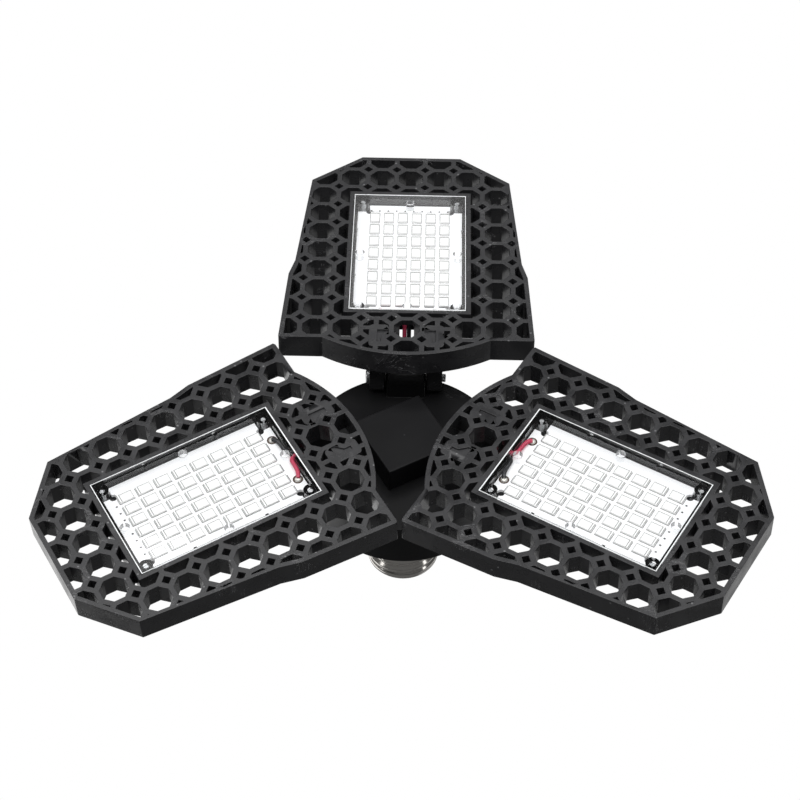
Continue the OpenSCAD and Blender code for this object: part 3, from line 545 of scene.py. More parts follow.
def lattice_tree():
    """A web sheet with eight-sided and square cells, joined to its rim, window frame, hinge pads and lugs."""
    labels = ("Web sheet", "Bosses", "Plate", "Inside", "Frame", "Drillings")
    work, given, result = geometry_tree("Lattice plate", [
        ("Cell width", "Float", 8.7), ("Square side", "Float", 2.35), ("Cut depth", "Float", 20.0)]
        + [(label, "Collection", None) for label in labels] + [("Paint", "Material", None)])
    square = work.add("GeometryNodeInputNamedAttribute", {"data_type": "BOOLEAN"}, Name="small")
    eight_sides = work.add("GeometryNodeMeshCylinder", Vertices=8, Depth=work.out(given, "Cut depth"),
                           Radius=work.math("DIVIDE", work.out(given, "Cell width"), 2.0 * math.cos(math.pi / 8)))
    four_sides = work.add("GeometryNodeMeshCylinder", Vertices=4, Depth=work.out(given, "Cut depth"),
                          Radius=work.math("DIVIDE", work.out(given, "Square side"), math.sqrt(2.0)))
    cells = work.add("GeometryNodeInstanceOnPoints", Points=given.outputs[0], Instance=eight_sides,
                     Selection=work.add("FunctionNodeBooleanMath", {"operation": "NOT"}, **{"0": square}),
                     Rotation=(0.0, 0.0, math.pi / 8))
    squares = work.add("GeometryNodeInstanceOnPoints", Points=given.outputs[0], Instance=four_sides, Selection=square)

    def solids(label):
        return work.add("GeometryNodeCollectionInfo", Collection=work.out(given, label), Separate_Children=True)

    def single(label):
        return work.add("GeometryNodeRealizeInstances", Geometry=solids(label))

    def boolean(operation, body, *parts):
        node = work.add("GeometryNodeMeshBoolean", {"operation": operation, "solver": "EXACT"})
        if body:
            work.feed(node, node.inputs[0], body)
        for part in parts:
            work.feed(node, node.inputs[1], part)
        return work.out(node, "Mesh")

    webs = boolean("DIFFERENCE", single("Web sheet"), cells)
    webs = boolean("DIFFERENCE", boolean("UNION", None, webs, solids("Bosses")), squares)
    rim = boolean("DIFFERENCE", single("Plate"), solids("Inside"))
    body = boolean("DIFFERENCE", boolean("UNION", None, webs, rim, solids("Frame")), solids("Drillings"))
    return finished_tree(work, given, result, body, "Paint")


def rows_tree():
    """Repeats a shape in a grid of columns and rows about the origin."""
    work, given, result = geometry_tree("Rows of pieces", [
        ("Shape", "Object", None), ("Columns", "Int", 6), ("Rows", "Int", 8), ("Column pitch", "Float", 5.0),
        ("Row pitch", "Float", 6.0)])

    def span(number, pitch):
        return work.math("MULTIPLY", work.math("SUBTRACT", work.out(given, number), 1.0), work.out(given, pitch))

    grid = work.add("GeometryNodeMeshGrid", Size_X=span("Columns", "Column pitch"), Size_Y=span("Rows", "Row pitch"),
                    Vertices_X=work.out(given, "Columns"), Vertices_Y=work.out(given, "Rows"))
    shape = work.add("GeometryNodeObjectInfo", Object=work.out(given, "Shape"))
    copies = work.add("GeometryNodeInstanceOnPoints", Points=work.out(grid, "Mesh"),
                      Instance=work.out(shape, "Geometry"))
    work.feed(result, result.inputs[0], work.add("GeometryNodeRealizeInstances", Geometry=copies))
    return work.tree


def places_tree():
    """Puts a turned copy of a shape at each point of the mesh it is given."""
    work, given, result = geometry_tree("Pieces at places", [
        ("Shape", "Object", None), ("Turn", "Vector", None), ("Finish", "Material", None)])
    shape = work.add("GeometryNodeObjectInfo", Object=work.out(given, "Shape"))
    copies = work.add("GeometryNodeInstanceOnPoints", Points=given.outputs[0], Instance=work.out(shape, "Geometry"),
                      Rotation=work.out(given, "Turn"))
    return finished_tree(work, given, result, copies, "Finish")


def thread_tree():
    """Waves a round shell into a right-hand thread between two heights, fading out within one pitch of each."""
    work, given, result = geometry_tree("Rolled thread", [
        ("Depth", "Float", 0.95), ("Pitch", "Float", 3.629), ("Top", "Float", -4.0), ("Bottom", "Float", -20.0),
        ("Plating", "Material", None)])
    x, y, z = work.add("ShaderNodeSeparateXYZ", Vector=work.add("GeometryNodeInputPosition")).outputs
    pitch, math_of = work.out(given, "Pitch"), work.math
    angle = math_of("ARCTAN2", y, x)
    along = math_of("DIVIDE", math_of("MULTIPLY", z, math.tau), pitch)
    wave = math_of("COSINE", math_of("SUBTRACT", along, angle))
    below = math_of("DIVIDE", math_of("SUBTRACT", work.out(given, "Top"), z), pitch)
    above = math_of("DIVIDE", math_of("SUBTRACT", z, work.out(given, "Bottom")), pitch)
    fade = math_of("MAXIMUM", math_of("MINIMUM", math_of("MINIMUM", below, above), 1.0), 0.0)
    half_depth = math_of("MULTIPLY", work.out(given, "Depth"), 0.5)
    push = math_of("MULTIPLY", math_of("MULTIPLY", wave, fade), half_depth)
    offset = work.add("ShaderNodeCombineXYZ", X=math_of("MULTIPLY", math_of("COSINE", angle), push),
                      Y=math_of("MULTIPLY", math_of("SINE", angle), push))
    moved = work.add("GeometryNodeSetPosition", Geometry=given.outputs[0], Offset=offset)
    return finished_tree(work, given, result, moved, "Plating")


def tree_named(name, make):
    return bpy.data.node_groups.get(name) or make()


# ---- Finishes ----

def shader_group(name, inputs, outputs):
    tree = bpy.data.node_groups.new(name, "ShaderNodeTree")
    for label, default in inputs:
        tree.interface.new_socket(name=label, in_out="INPUT", socket_type="NodeSocketFloat").default_value = default
    for label in outputs:
        tree.interface.new_socket(name=label, in_out="OUTPUT", socket_type="NodeSocketFloat")
    work = Tree(tree)
    return work, work.add("NodeGroupInput"), work.add("NodeGroupOutput")


def grain_group():
    """Fine height of a sprayed or moulded skin, and slow clouding over the surface."""
    work, given, result = shader_group("Fine grain", [("Scale", 2500.0), ("Cloud scale", 60.0)], ["Height", "Cloud"])
    place = work.out(work.add("ShaderNodeTexCoord"), "Object")
    fine = work.add("ShaderNodeTexNoise", Vector=place, Scale=work.out(given, "Scale"), Detail=3.0, Roughness=0.6)
    slow = work.add("ShaderNodeTexNoise", Vector=place, Scale=work.out(given, "Cloud scale"), Detail=4.0)
    work.feed(result, "Height", fine.outputs[0])
    work.feed(result, "Cloud", slow.outputs[0])
    return work.tree


def specks_group():
    """Mask of small scattered dots: dust, nibs of paint or pores."""
    work, given, result = shader_group("Specks", [("Scale", 300.0), ("Share", 0.1), ("Size", 0.2)], ["Mask"])
    place = work.out(work.add("ShaderNodeTexCoord"), "Object")
    cells = work.add("ShaderNodeTexVoronoi", Vector=place, Scale=work.out(given, "Scale"))
    chance = work.out(work.add("ShaderNodeSeparateColor", Color=work.out(cells, "Color")), "Red")
    chosen = work.math("LESS_THAN", chance, work.out(given, "Share"))
    edge = work.add("ShaderNodeMapRange", From_Min=0.0, From_Max=work.out(given, "Size"), To_Min=1.0, To_Max=0.0,
                    Value=work.out(cells, "Distance"))
    work.feed(result, "Mask", work.math("MULTIPLY", chosen, edge))
    return work.tree


def scuffs_group():
    """Mask of fine handling scratches, in two directions, broken up by a slow noise."""
    work, given, result = shader_group("Scuffs", [("Scale", 90.0), ("Share", 0.3)], ["Mask"])
    place = work.out(work.add("ShaderNodeTexCoord"), "Object")
    lines = None
    for turn, stretch in ((0.5, 26.0), (-1.1, 34.0)):
        spun = work.add("ShaderNodeMapping", Vector=place, Rotation=(0.2, 0.1, turn), Scale=(1.0, stretch, 1.0))
        noise = work.add("ShaderNodeTexNoise", Vector=spun, Scale=work.out(given, "Scale"), Detail=1.0)
        near = work.math("ABSOLUTE", work.math("SUBTRACT", noise.outputs[0], 0.5))
        line = work.math("LESS_THAN", near, 0.004)
        lines = line if lines is None else work.math("MAXIMUM", lines, line)
    patch = work.add("ShaderNodeTexNoise", Vector=place, Scale=work.math("MULTIPLY", work.out(given, "Scale"), 0.7))
    least = work.math("SUBTRACT", 0.72, work.math("MULTIPLY", work.out(given, "Share"), 0.3))
    where = work.math("GREATER_THAN", patch.outputs[0], least)
    work.feed(result, "Mask", work.math("MULTIPLY", lines, where))
    return work.tree


def use_group(work, name, make, **inputs):
    node = work.add("ShaderNodeGroup")
    node.node_tree = tree_named(name, make)
    for key, value in inputs.items():
        work.feed(node, key.replace("_", " "), value)
    return node


def fresh_nodes(holder):
    """An empty node tree for a new material or world."""
    holder.use_nodes = True
    holder.node_tree.nodes.clear()
    return Tree(holder.node_tree)


def mixed_colour(work, factor, first, second):
    node = work.add("ShaderNodeMix", {"data_type": "RGBA"})
    for socket, value in ((node.inputs["Factor"], factor), (node.inputs[6], first), (node.inputs[7], second)):
        work.feed(node, socket, value)
    return node.outputs[2]


def mixed_shader(work, factor, first, second):
    node = work.add("ShaderNodeMixShader")
    for socket, value in zip(node.inputs, (factor, first, second)):
        work.feed(node, socket, value)
    return node


def finish_of(name, base, roughness, metallic=0.0, grain=2500.0, bump=0.1, cloud=60.0, cloud_share=0.12, spread=0.08,
              mark=None, speck=(300.0, 0.06, 0.16), scuff=(90.0, 0.2), marks=0.6, specular=0.5, own_light=0.0):
    """A principled material with grain, clouding, specks and scuffs. mark is the colour of specks and scuffs. own_light
    is a white emission that paints light onto a part that is no lamp.
    """
    found = bpy.data.materials.get(name)
    if found:
        return found
    material = bpy.data.materials.new(name)
    work = fresh_nodes(material)
    shader = work.add("ShaderNodeBsdfPrincipled")
    work.feed(work.add("ShaderNodeOutputMaterial"), "Surface", shader)
    skin = use_group(work, "Fine grain", grain_group, Scale=grain, Cloud_scale=cloud)
    dark = [c * (1.0 - cloud_share) for c in base]
    light = [min(1.0, c * (1.0 + cloud_share)) for c in base]
    shown = mixed_colour(work, work.out(skin, "Cloud"), (*dark, 1.0), (*light, 1.0))
    rough = work.add("ShaderNodeMapRange", Value=work.out(skin, "Cloud"), From_Min=0.3, From_Max=0.7,
                     To_Min=max(0.0, roughness - spread), To_Max=min(1.0, roughness + spread)).outputs[0]
    if mark:
        specks = use_group(work, "Specks", specks_group, Scale=speck[0], Share=speck[1], Size=speck[2])
        scuffs = use_group(work, "Scuffs", scuffs_group, Scale=scuff[0], Share=scuff[1])
        mask = work.math("MULTIPLY", work.math("MAXIMUM", work.out(specks, "Mask"), work.out(scuffs, "Mask")), marks)
        shown = mixed_colour(work, mask, shown, (*mark, 1.0))
        rough = work.math("ADD", rough, work.math("MULTIPLY", mask, 0.15))
    height = work.add("ShaderNodeBump", Strength=bump, Distance=0.0001, Height=work.out(skin, "Height"))
    for key, value in (("Base Color", shown), ("Roughness", rough), ("Normal", height)):
        work.feed(shader, key, value)
    # Emission Strength carries own_light: painted light, not a lamp.
    for key, value in (("Metallic", metallic), ("Specular IOR Level", specular), ("Emission Strength", own_light),
                       ("Emission Color", (1.0, 1.0, 1.0, 1.0))):
        shader.inputs[key].default_value = value
    return material


# Each finish: colour and roughness, or the names of the settings that hold them; metal; scale of the grain and its
# bump; scale and share of the clouding; anything else.
FINISHES = {
    "Satin black paint": ("frame_black", "frame_roughness", 0.0, 3200.0, 0.22, 45.0, 0.18, dict(
        mark=(0.16, 0.16, 0.165), speck=(420.0, 0.05, 0.16), scuff=(70.0, 0.06), marks=0.4, specular=0.22)),
    # Rounded panel edges: the lighter, glossier paint is painted highlight; its pale specks and scuffs are chipped
    # paint.
    "Edge paint": ((0.026, 0.026, 0.028), 0.28, 0.0, 3200.0, 0.12, 160.0, 0.5, dict(
        mark=(0.35, 0.35, 0.36), speck=(520.0, 0.10, 0.24), scuff=(120.0, 0.3), marks=0.7)),
    # Inside the window pocket: darker, duller paint that is painted shade.
    "Pocket paint": ((0.009, 0.009, 0.0095), 0.6, 0.0, 2600.0, 0.2, 60.0, 0.3, dict(specular=0.08)),
    "Hub paint": ("frame_black", 0.36, 0.0, 2800.0, 0.2, 40.0, 0.18, dict(
        mark=(0.16, 0.16, 0.165), speck=(380.0, 0.05, 0.16), scuff=(65.0, 0.22), marks=0.55, specular=0.16)),
    "Black moulding": ("moulding_black", "moulding_roughness", 0.0, 1800.0, 0.16, 38.0, 0.14, dict(
        mark=(0.10, 0.10, 0.105), speck=(350.0, 0.04, 0.14), scuff=(60.0, 0.16), marks=0.5, specular=0.13)),
    "Zinc plate": ("zinc", 0.28, 1.0, 2600.0, 0.12, 240.0, 0.14, dict(
        mark=(0.22, 0.20, 0.17), speck=(900.0, 0.08, 0.2), scuff=(300.0, 0.3))),
    "Nickel plate": ("nickel", 0.13, 1.0, 1500.0, 0.04, 120.0, 0.10, dict(
        spread=0.05, mark=(0.30, 0.25, 0.19), speck=(500.0, 0.06, 0.2), scuff=(110.0, 0.3), marks=0.5)),
    # The board mask and the two chip finishes below carry painted glow: painted light on parts that are no lamps.
    "White board mask": ("board_white", 0.38, 0.0, 1400.0, 0.06, 90.0, 0.02, dict(
        mark=(0.70, 0.69, 0.67), speck=(260.0, 0.03, 0.12), scuff=(120.0, 0.1), marks=0.5, own_light=0.14)),
    "Chip body": ("chip_white", 0.42, 0.0, 3000.0, 0.05, 300.0, 0.02, dict(own_light=0.10)),
    "Chip phosphor": ("phosphor", 0.40, 0.0, 5200.0, 0.06, 420.0, 0.03, dict(own_light=0.10)),
    # Dark grey for the chips' foot ring, window walls and end bars: painted shade and painted shadow lines.
    "Chip seam": ((0.05, 0.047, 0.045), 0.55, 0.0, 3000.0, 0.05, 500.0, 0.3, {}),
    # Pale strips along the covers' edges: painted highlight, with painted glow.
    "Cover edge": ((0.86, 0.88, 0.89), 0.22, 0.0, 1500.0, 0.05, 160.0, 0.12, dict(own_light=0.12)),
    # Dark ink for the test points, also used for the dashes of painted shadow by the first chip row.
    "Dark print": ((0.03, 0.03, 0.032), 0.5, 0.0, 2600.0, 0.1, 500.0, 0.4, {}),
    "Dark oxide": ((0.07, 0.068, 0.066), 0.42, 1.0, 2400.0, 0.2, 320.0, 0.3, dict(
        mark=(0.25, 0.24, 0.22), speck=(700.0, 0.06, 0.2), scuff=(300.0, 0.2), marks=0.4)),
    "Solder": ((0.74, 0.72, 0.67), 0.34, 0.5, 2200.0, 0.25, 700.0, 0.2, {}),
    "Solder flux": ((0.055, 0.028, 0.014), 0.25, 0.0, 2600.0, 0.2, 600.0, 0.4, {}),
    "Red insulation": ("lead_red", 0.36, 0.0, 1500.0, 0.08, 200.0, 0.14, {}),
    "Black insulation": ("lead_black", 0.36, 0.0, 1500.0, 0.08, 200.0, 0.14, {}),
    "Insulator": ((0.008, 0.008, 0.009), 0.3, 0.0, 1600.0, 0.08, 150.0, 0.12, dict(
        mark=(0.08, 0.08, 0.085), marks=0.4)),
    "Heat pad": ((0.30, 0.32, 0.36), 0.7, 0.0, 1200.0, 0.2, 60.0, 0.12, {}),
    "Fibre board": ((0.02, 0.11, 0.045), 0.4, 0.0, 900.0, 0.12, 120.0, 0.2, dict(
        mark=(0.45, 0.38, 0.2), speck=(220.0, 0.3, 0.14), marks=0.8)),
    "Capacitor sleeve": ((0.012, 0.016, 0.07), 0.22, 0.0, 700.0, 0.04, 60.0, 0.12, {}),
    "Ferrite": ((0.03, 0.03, 0.032), 0.6, 0.0, 1500.0, 0.3, 60.0, 0.12, {}),
    "Copper wire": ((0.46, 0.17, 0.06), 0.25, 1.0, 1100.0, 0.5, 60.0, 0.12, {}),
    "Epoxy body": ((0.015, 0.015, 0.016), 0.5, 0.0, 2000.0, 0.2, 60.0, 0.12, {}),
    "Resistor lacquer": ((0.13, 0.26, 0.17), 0.35, 0.0, 900.0, 0.1, 60.0, 0.12, {}),
}


def finish_named(name):
    """The finish of that name in the table."""
    *values, others = FINISHES[name]
    settings = bpy.context.scene.lamp_finishes
    base, roughness = (getattr(settings, value) if isinstance(value, str) else value for value in values[:2])
    return finish_of(name, base, roughness, *values[2:], **others)


def clear_moulding():
    """Clear plastic that lets light pass to the board below."""
    found = bpy.data.materials.get("Clear moulding")
    if found:
        return found
    material = bpy.data.materials.new("Clear moulding")
    work = fresh_nodes(material)
    shader = work.add("ShaderNodeBsdfPrincipled")
    for key, value in (("Base Color", (0.99, 0.995, 1.0, 1.0)), ("Transmission Weight", 1.0), ("IOR", 1.16),
                       ("Metallic", 0.0), ("Coat Weight", 0.65), ("Coat Roughness", 0.02)):
        shader.inputs[key].default_value = value
    specks = use_group(work, "Specks", specks_group, Scale=260.0, Share=0.05, Size=0.1)
    scuffs = use_group(work, "Scuffs", scuffs_group, Scale=80.0, Share=0.1)
    worn = work.math("MAXIMUM", work.out(specks, "Mask"), work.math("MULTIPLY", work.out(scuffs, "Mask"), 0.4))
    work.feed(shader, "Roughness", work.math("MULTIPLY", worn, 0.25))
    path = work.add("ShaderNodeLightPath")
    passing = work.math("MAXIMUM", work.out(path, "Is Shadow Ray"), work.out(path, "Is Diffuse Ray"))
    through = work.add("ShaderNodeBsdfTransparent", Color=(0.99, 0.995, 1.0, 1.0))
    work.feed(work.add("ShaderNodeOutputMaterial"), "Surface", mixed_shader(work, passing, shader, through))
    return material


# ---- Panel shapes, in millimetres in the panel's own frame ----

def inset(points, distances):
    """An anticlockwise outline with the edge from each point moved inwards by its distance."""
    result = []
    for k, point in enumerate(points):
        before, here, after = (Vector(points[k - 1]), Vector(point), Vector(points[(k + 1) % len(points)]))
        u, v = (here - before).normalized(), (after - here).normalized()
        a, b, s, t = Vector((-u.y, u.x)), Vector((-v.y, v.x)), distances[k - 1], distances[k]
        c = a.dot(b)
        result.append(here + ((s - c * t) * a + (t - c * s) * b) / (1.0 - c * c))
    return [tuple(p) for p in result]


def side_points(p):
    return [(p.hub_edge_width * MM / 2, -p.hub_edge_back * MM), (p.flare_inner_width * MM / 2, p.flare_inner_y * MM),
            (p.flare_outer_width * MM / 2, p.flare_outer_y * MM),
            (p.chamfer_width * MM / 2, (p.reach - p.chamfer_length) * MM), (p.outer_edge * MM / 2, p.reach * MM)]


def mirrored(points):
    return points + [(-x, y) for x, y in reversed(points)]


def panel_outline(p):
    """The outer outline, its hub corners cut to clear the neighbouring panels."""
    right, cut = side_points(p), p.corner_cut * MM
    corner, run = Vector(right[0]), (Vector(right[1]) - Vector(right[0])).normalized()
    ends = [corner - Vector((2.0 * cut, 0.0)), corner + run * cut / (math.sin(math.pi / 3) * run.y - 0.5 * run.x)]
    return mirrored([tuple(end) for end in ends] + right[1:]) + bulge_arc(p, 0.0)


def inside_rim(p, part=1.0):
    """The outline inside the rim, or inside only a part of the rim's width."""
    edges = [part * (p.side_rim if k in (2, 6) else p.rim) * MM for k in range(10)]
    return inset(mirrored(side_points(p)), edges) + bulge_arc(p, part * p.rim * MM)


def bulge_arc(p, distance, steps=48):
    half, depth, back = p.bulge_width * MM / 2, p.bulge_depth * MM, p.hub_edge_back * MM
    radius = (half * half + depth * depth) / (2.0 * depth)
    middle = radius - back - depth
    across = -back + distance - middle
    start = math.acos(max(-1.0, min(1.0, -across / (radius - distance))))
    turns = [start * (2.0 * k / steps - 1.0) for k in range(steps + 1)]
    return [((radius - distance) * math.sin(t), middle - (radius - distance) * math.cos(t)) for t in turns]


def half_width(p, y):
    sides = side_points(p)
    for (x0, y0), (x1, y1) in zip(sides, sides[1:]):
        if y <= y1:
            return x0 + (x1 - x0) * max(0.0, y - y0) / (y1 - y0)
    return sides[-1][0]


def cell_points(p):
    """Middles of the cells to cut, with a mark on the small square ones."""
    pitch, first, least = p.cell_pitch * MM, p.first_row * MM, 0.15

    def reached(x, y, half):
        return (abs(x) - half < half_width(p, y) - p.side_rim * MM - least
                and y - half < (p.reach - p.rim) * MM - least)

    spots, small = [], []
    for i in range(-4, 5):
        for j in range(-1, 10):
            x, y = i * pitch, first + j * pitch
            if reached(x, y, p.cell_flats * MM / 2):
                spots.append((x, y, 15.0))
                small.append(False)
            x, y = (i + 0.5) * pitch, first + (j + 0.5) * pitch
            if i < 4 and reached(x, y, p.square_side * MM / math.sqrt(2.0)):
                spots.append((x, y, 15.0))
                small.append(True)
    mesh = new_mesh("cells", spots, [])
    marks = mesh.attributes.new("small", "BOOLEAN", "POINT")
    marks.data.foreach_set("value", small)
    return mesh


def round_cornered(x, y, radius, steps=4):
    """A rectangle with rounded corners."""
    outline = []
    for k, (a, b) in enumerate(((x[1], y[1]), (x[0], y[1]), (x[0], y[0]), (x[1], y[0]))):
        middle = (a - math.copysign(radius, a - x[0] - 1e-6), b - math.copysign(radius, b - y[0] - 1e-6))
        outline += [(middle[0] + radius * math.cos(t), middle[1] + radius * math.sin(t))
                    for t in [math.pi / 2 * (k + s / steps) for s in range(steps + 1)]]
    return outline


def panel_solids(p, w, h):
    """The solids that the lattice tree works with: a panel's plate with its lugs and everything that shapes it."""
    face = p.face_height * MM
    plate = face - p.thickness * MM
    floor = face - w.pocket_depth * MM
    board_top = floor + (w.pad_thickness + w.board_thickness) * MM
    lug, inner, outer = h.lug_radius * MM, h.lug_inner * MM, h.lug_outer * MM
    back, front = p.pad_back * MM, p.pad_front * MM
    around = [(lug * math.cos(math.pi * k / 32), -lug * math.sin(math.pi * k / 32)) for k in range(33)]
    lug_outline = around + [(0.65 - back, plate + 1.0), (front - 0.65, plate + 1.0)]
    middle, pitch, first = w.middle * MM, p.cell_pitch * MM, p.first_row * MM
    flats, web = p.cell_flats * MM / 2, p.web * MM / 2
    corner = flats * math.tan(math.pi / 8)
    half_x = (w.cover_width / 2 + w.cover_gap + w.rim) * MM
    half_y = (w.cover_length / 2 + w.cover_gap + w.rim) * MM
    pocket_x, pocket_y = (w.cover_width / 2 + w.cover_gap) * MM, (w.cover_length / 2 + w.cover_gap) * MM
    under_webs = plate + p.web_recess * MM
    bosses, drilled = [], [block((-pocket_x, pocket_x), (middle - pocket_y, middle + pocket_y), (floor, face + 3.0))]
    frame_parts = [block((-half_x, half_x), (middle - half_y, middle + half_y), (under_webs, face))]
    recess_start, recess_end, step = -4.95, 1.05, 0.45
    recess = [(pitch - step, recess_end), (pitch - flats, recess_end), (pitch - flats, first - corner),
              (pitch - corner, first - flats), (pitch - corner, recess_start), (pitch - step, recess_start)]
    slot_y = first + p.slot_row * pitch
    slot_x = half_width(p, slot_y) - p.slot_inset * MM
    slot_half, slot_long = p.slot_width * MM / 2, p.slot_length * MM / 2
    hole_radius, hole_depth, over_lead = 1.2, 8.0, 0.4
    for s in (-1, 1):
        def across(a, b):
            return (min(s * a, s * b), max(s * a, s * b))
        frame_parts.append(prism(lug_outline, *across(inner, outer), "x"))
        pad = round_cornered(across(inner - 1.4, outer + 0.3), (-back, front), p.pad_corner * MM)
        rib, bar = (first - pitch - 0.6, first + flats + web / 2), (recess_end, 3.0)
        bosses += [prism(pad, plate, face), block(across(pitch - web, pitch + web), rib, (under_webs, face)),
                   block(across(outer - 0.7, pitch + flats + web / 2), bar, (under_webs, face))]
        drilled += [prism([(s * a, b) for a, b in recess], face - p.pad_recess * MM, face + 2.0),
                    block(across(slot_x - slot_half, slot_x + slot_half), (slot_y - slot_long, slot_y + slot_long),
                          (plate - PAST, face + PAST))]
        for t in (-1, 1):
            screw_hole = ring(hole_radius, 32, (s * w.boss_x * MM, middle + t * w.boss_y * MM))
            drilled.append(prism(screw_hole, plate - PAST, plate + hole_depth))
    lead = w.lead_diameter * MM
    passage, lead_top = (-lead - 1.0, lead + 1.0), board_top + lead + over_lead
    nut_seat = h.nut_flats * MM / 2 / math.cos(math.pi / 6) + 0.1
    drilled += [block(passage, (first, middle - half_y + 2.6), (board_top - PAST, lead_top)),
                block(passage, (first, middle - half_y), (plate - PAST, lead_top)),
                prism(ring(h.bore_radius * MM, 48), -outer - PAST, outer + PAST, "x"),
                prism(ring(nut_seat, 6), outer - h.nut_height * MM, outer + 1.5, "x")]
    return {"Web sheet": [prism(inside_rim(p, 0.4), under_webs, face)], "Bosses": bosses,
            "Plate": [prism(panel_outline(p), plate, face)], "Inside": [prism(inside_rim(p), plate - 4.0, face + 4.0)],
            "Frame": frame_parts, "Drillings": drilled}


def board_outline(w):
    """A board with square corner notches and a small round bite in each."""
    x, y = w.board_width * MM / 2, w.board_length * MM / 2
    nx, ny, bite = x - w.notch_x * MM, y - w.notch_y * MM, 1.3
    quarter = [(x, ny), (nx + bite, ny)]
    quarter += [(nx + bite * math.cos(a), ny + bite * math.sin(a)) for a in [-math.pi / 12 * k for k in range(1, 17)]]
    quarter += [(nx, ny + bite), (nx, y)]
    outline = []
    for s, r, back in ((1, 1, False), (-1, 1, True), (-1, -1, False), (1, -1, True)):
        part = [(s * a, r * b) for a, b in quarter]
        outline += part[::-1] if back else part
    return outline


# ---- Operators ----

class LAMP_OT_panel_frames(bpy.types.Operator):
    """Cut the three lattice panels with their lugs, pockets and drillings"""
    bl_idname = "lamp.panel_frames"
    bl_label = "Lattice panels"

    def execute(self, context):
        scene = context.scene
        p, w, h = scene.lamp_panel, scene.lamp_window, scene.lamp_hinge
        solids = {label: folder_for(label, meshes) for label, meshes in panel_solids(p, w, h).items()}
        paints = [finish_named(name) for name in ("Satin black paint", "Edge paint", "Pocket paint")]
        mesh = grown(cell_points(p), tree_named("Lattice plate", lattice_tree), {
            "Cell width": p.cell_flats * MM, "Square side": p.square_side * MM, "Cut depth": 24.0,
            "Paint": paints[0], **solids})
        for folder in solids.values():
            for solid in list(folder.objects):
                bpy.data.objects.remove(solid)
            bpy.data.collections.remove(folder)
        tidy_up(mesh, 4e-3, math.radians(0.3))
        # The rounded edges take finish 1: painted highlight along every edge, with chipped paint.
        mesh = rounded(mesh, p.edge_round * MM, 2, 30.0, 1)
        # Faces inside the window pocket take finish 2: painted shade in the recess.
        x, y = (w.cover_width / 2 + w.cover_gap) * MM + 0.1, (w.cover_length / 2 + w.cover_gap) * MM + 0.1
        floor, top = (p.face_height - w.pocket_depth) * MM - 0.1, p.face_height * MM - 0.4
        for face in mesh.polygons:
            across, along, up = face.center
            if abs(across) < x and abs(along - w.middle * MM) < y and floor < up < top:
                face.material_index = 2
        add_to_panels("lattice_panel", in_metres(mesh), ["panel_frame"], paints)
        return {"FINISHED"}


class LAMP_OT_lens_covers(bpy.types.Operator):
    """Mould the three clear covers with their corner tubes, pegs and ribs, and lay pale strips of painted highlight
    along their top edges
    """
    bl_idname = "lamp.lens_covers"
    bl_label = "Clear covers"

    def execute(self, context):
        for n in PANELS:
            mesh = cad_copy(f"lens_cover_{n}", 0.4)
            mesh = in_metres(rounded(mesh, 0.16, 2, 40.0))
            add_piece(f"clear_cover_{n}", mesh, f"panel_{n}", [f"lens_cover_{n}"], [clear_moulding()])
        p, w = context.scene.lamp_panel, context.scene.lamp_window
        x, y, z, m = w.cover_width * MM / 2, w.cover_length * MM / 2, p.face_height * MM, w.middle * MM
        # Thin pale strips sunk into each cover's top along its edges, widest at the hub end: painted highlight.
        sunk, proud, past_edge = 0.12, 0.015, 0.1
        strips = []
        for width, low, high in ((0.36, (-x, -y), (x, -y)), (0.20, (x, -y), (x, y)), (0.28, (x, y), (-x, y)),
                                 (0.20, (-x, y), (-x, -y))):
            a, b = Vector(low), Vector(high)
            along = (b - a).normalized()
            inner = Vector((-along.y, along.x)) * width
            foot = [a - inner * past_edge, b - inner * past_edge, b + inner - along * width,
                    a + inner + along * width]
            strips.append(prism([(q.x, q.y + m) for q in foot], z - sunk, z + proud))
        add_to_panels("cover_edge", in_metres(joined("cover_edge", strips)), (),
                      [finish_named("Cover edge")])
        return {"FINISHED"}


class LAMP_OT_light_boards(bpy.types.Operator):
    """Make the light boards, their heat pads, test points and solder joints"""
    bl_idname = "lamp.light_boards"
    bl_label = "Light boards"

    def execute(self, context):
        scene = context.scene
        p, w = scene.lamp_panel, scene.lamp_window
        floor = (p.face_height - w.pocket_depth) * MM
        bottom = floor + w.pad_thickness * MM
        top = bottom + w.board_thickness * MM
        place = Matrix.Translation((0.0, w.middle * MM, 0.0))
        board = rounded(prism(board_outline(w), bottom, top), 0.08, 2)
        board.transform(place)
        add_to_panels("light_board", in_metres(board), ["led_board"],
                      [finish_named("White board mask")])
        edge = (w.chips_along * w.chip_pitch_y / 2) * MM + 0.7
        dots = in_rows(block((-0.25, 0.25), (-0.32, 0.32), (0.0, 0.08)), 10, 1, 3.1, 1.0,
                       (-0.2, w.middle * MM + edge, top))
        add_to_panels("test_points", in_metres(dots), (), [finish_named("Dark print")])
        y = w.middle * MM - w.board_length * MM / 2 + w.joint_inset * MM
        blob = [(0.0, 0.0), (1.2, 0.0), (1.16, 0.14), (1.0, 0.36), (0.74, 0.54), (0.4, 0.64), (0.0, 0.68)]
        halo = [(0.0, 0.0), (1.75, 0.0), (1.7, 0.05), (1.1, 0.09), (0.0, 0.09)]
        for name, profile, nodes, material in (("solder_blob", blob, ["solder_joints"], "Solder"),
                                               ("flux_ring", halo, (), "Solder flux")):
            pair = joined(name, [turned(name, profile, 28), turned(name, profile, 28)])
            half = len(pair.vertices) // 2
            for k, vertex in enumerate(pair.vertices):
                vertex.co.x += w.joint_x * MM * (-1 if k < half else 1)
                vertex.co.y += y
                vertex.co.z += top
            add_to_panels(name, in_metres(shade(pair, 50.0)), nodes, [finish_named(material)])
        for n in PANELS:
            paint_node(f"heat_pad_{n}", "Heat pad")
        return {"FINISHED"}


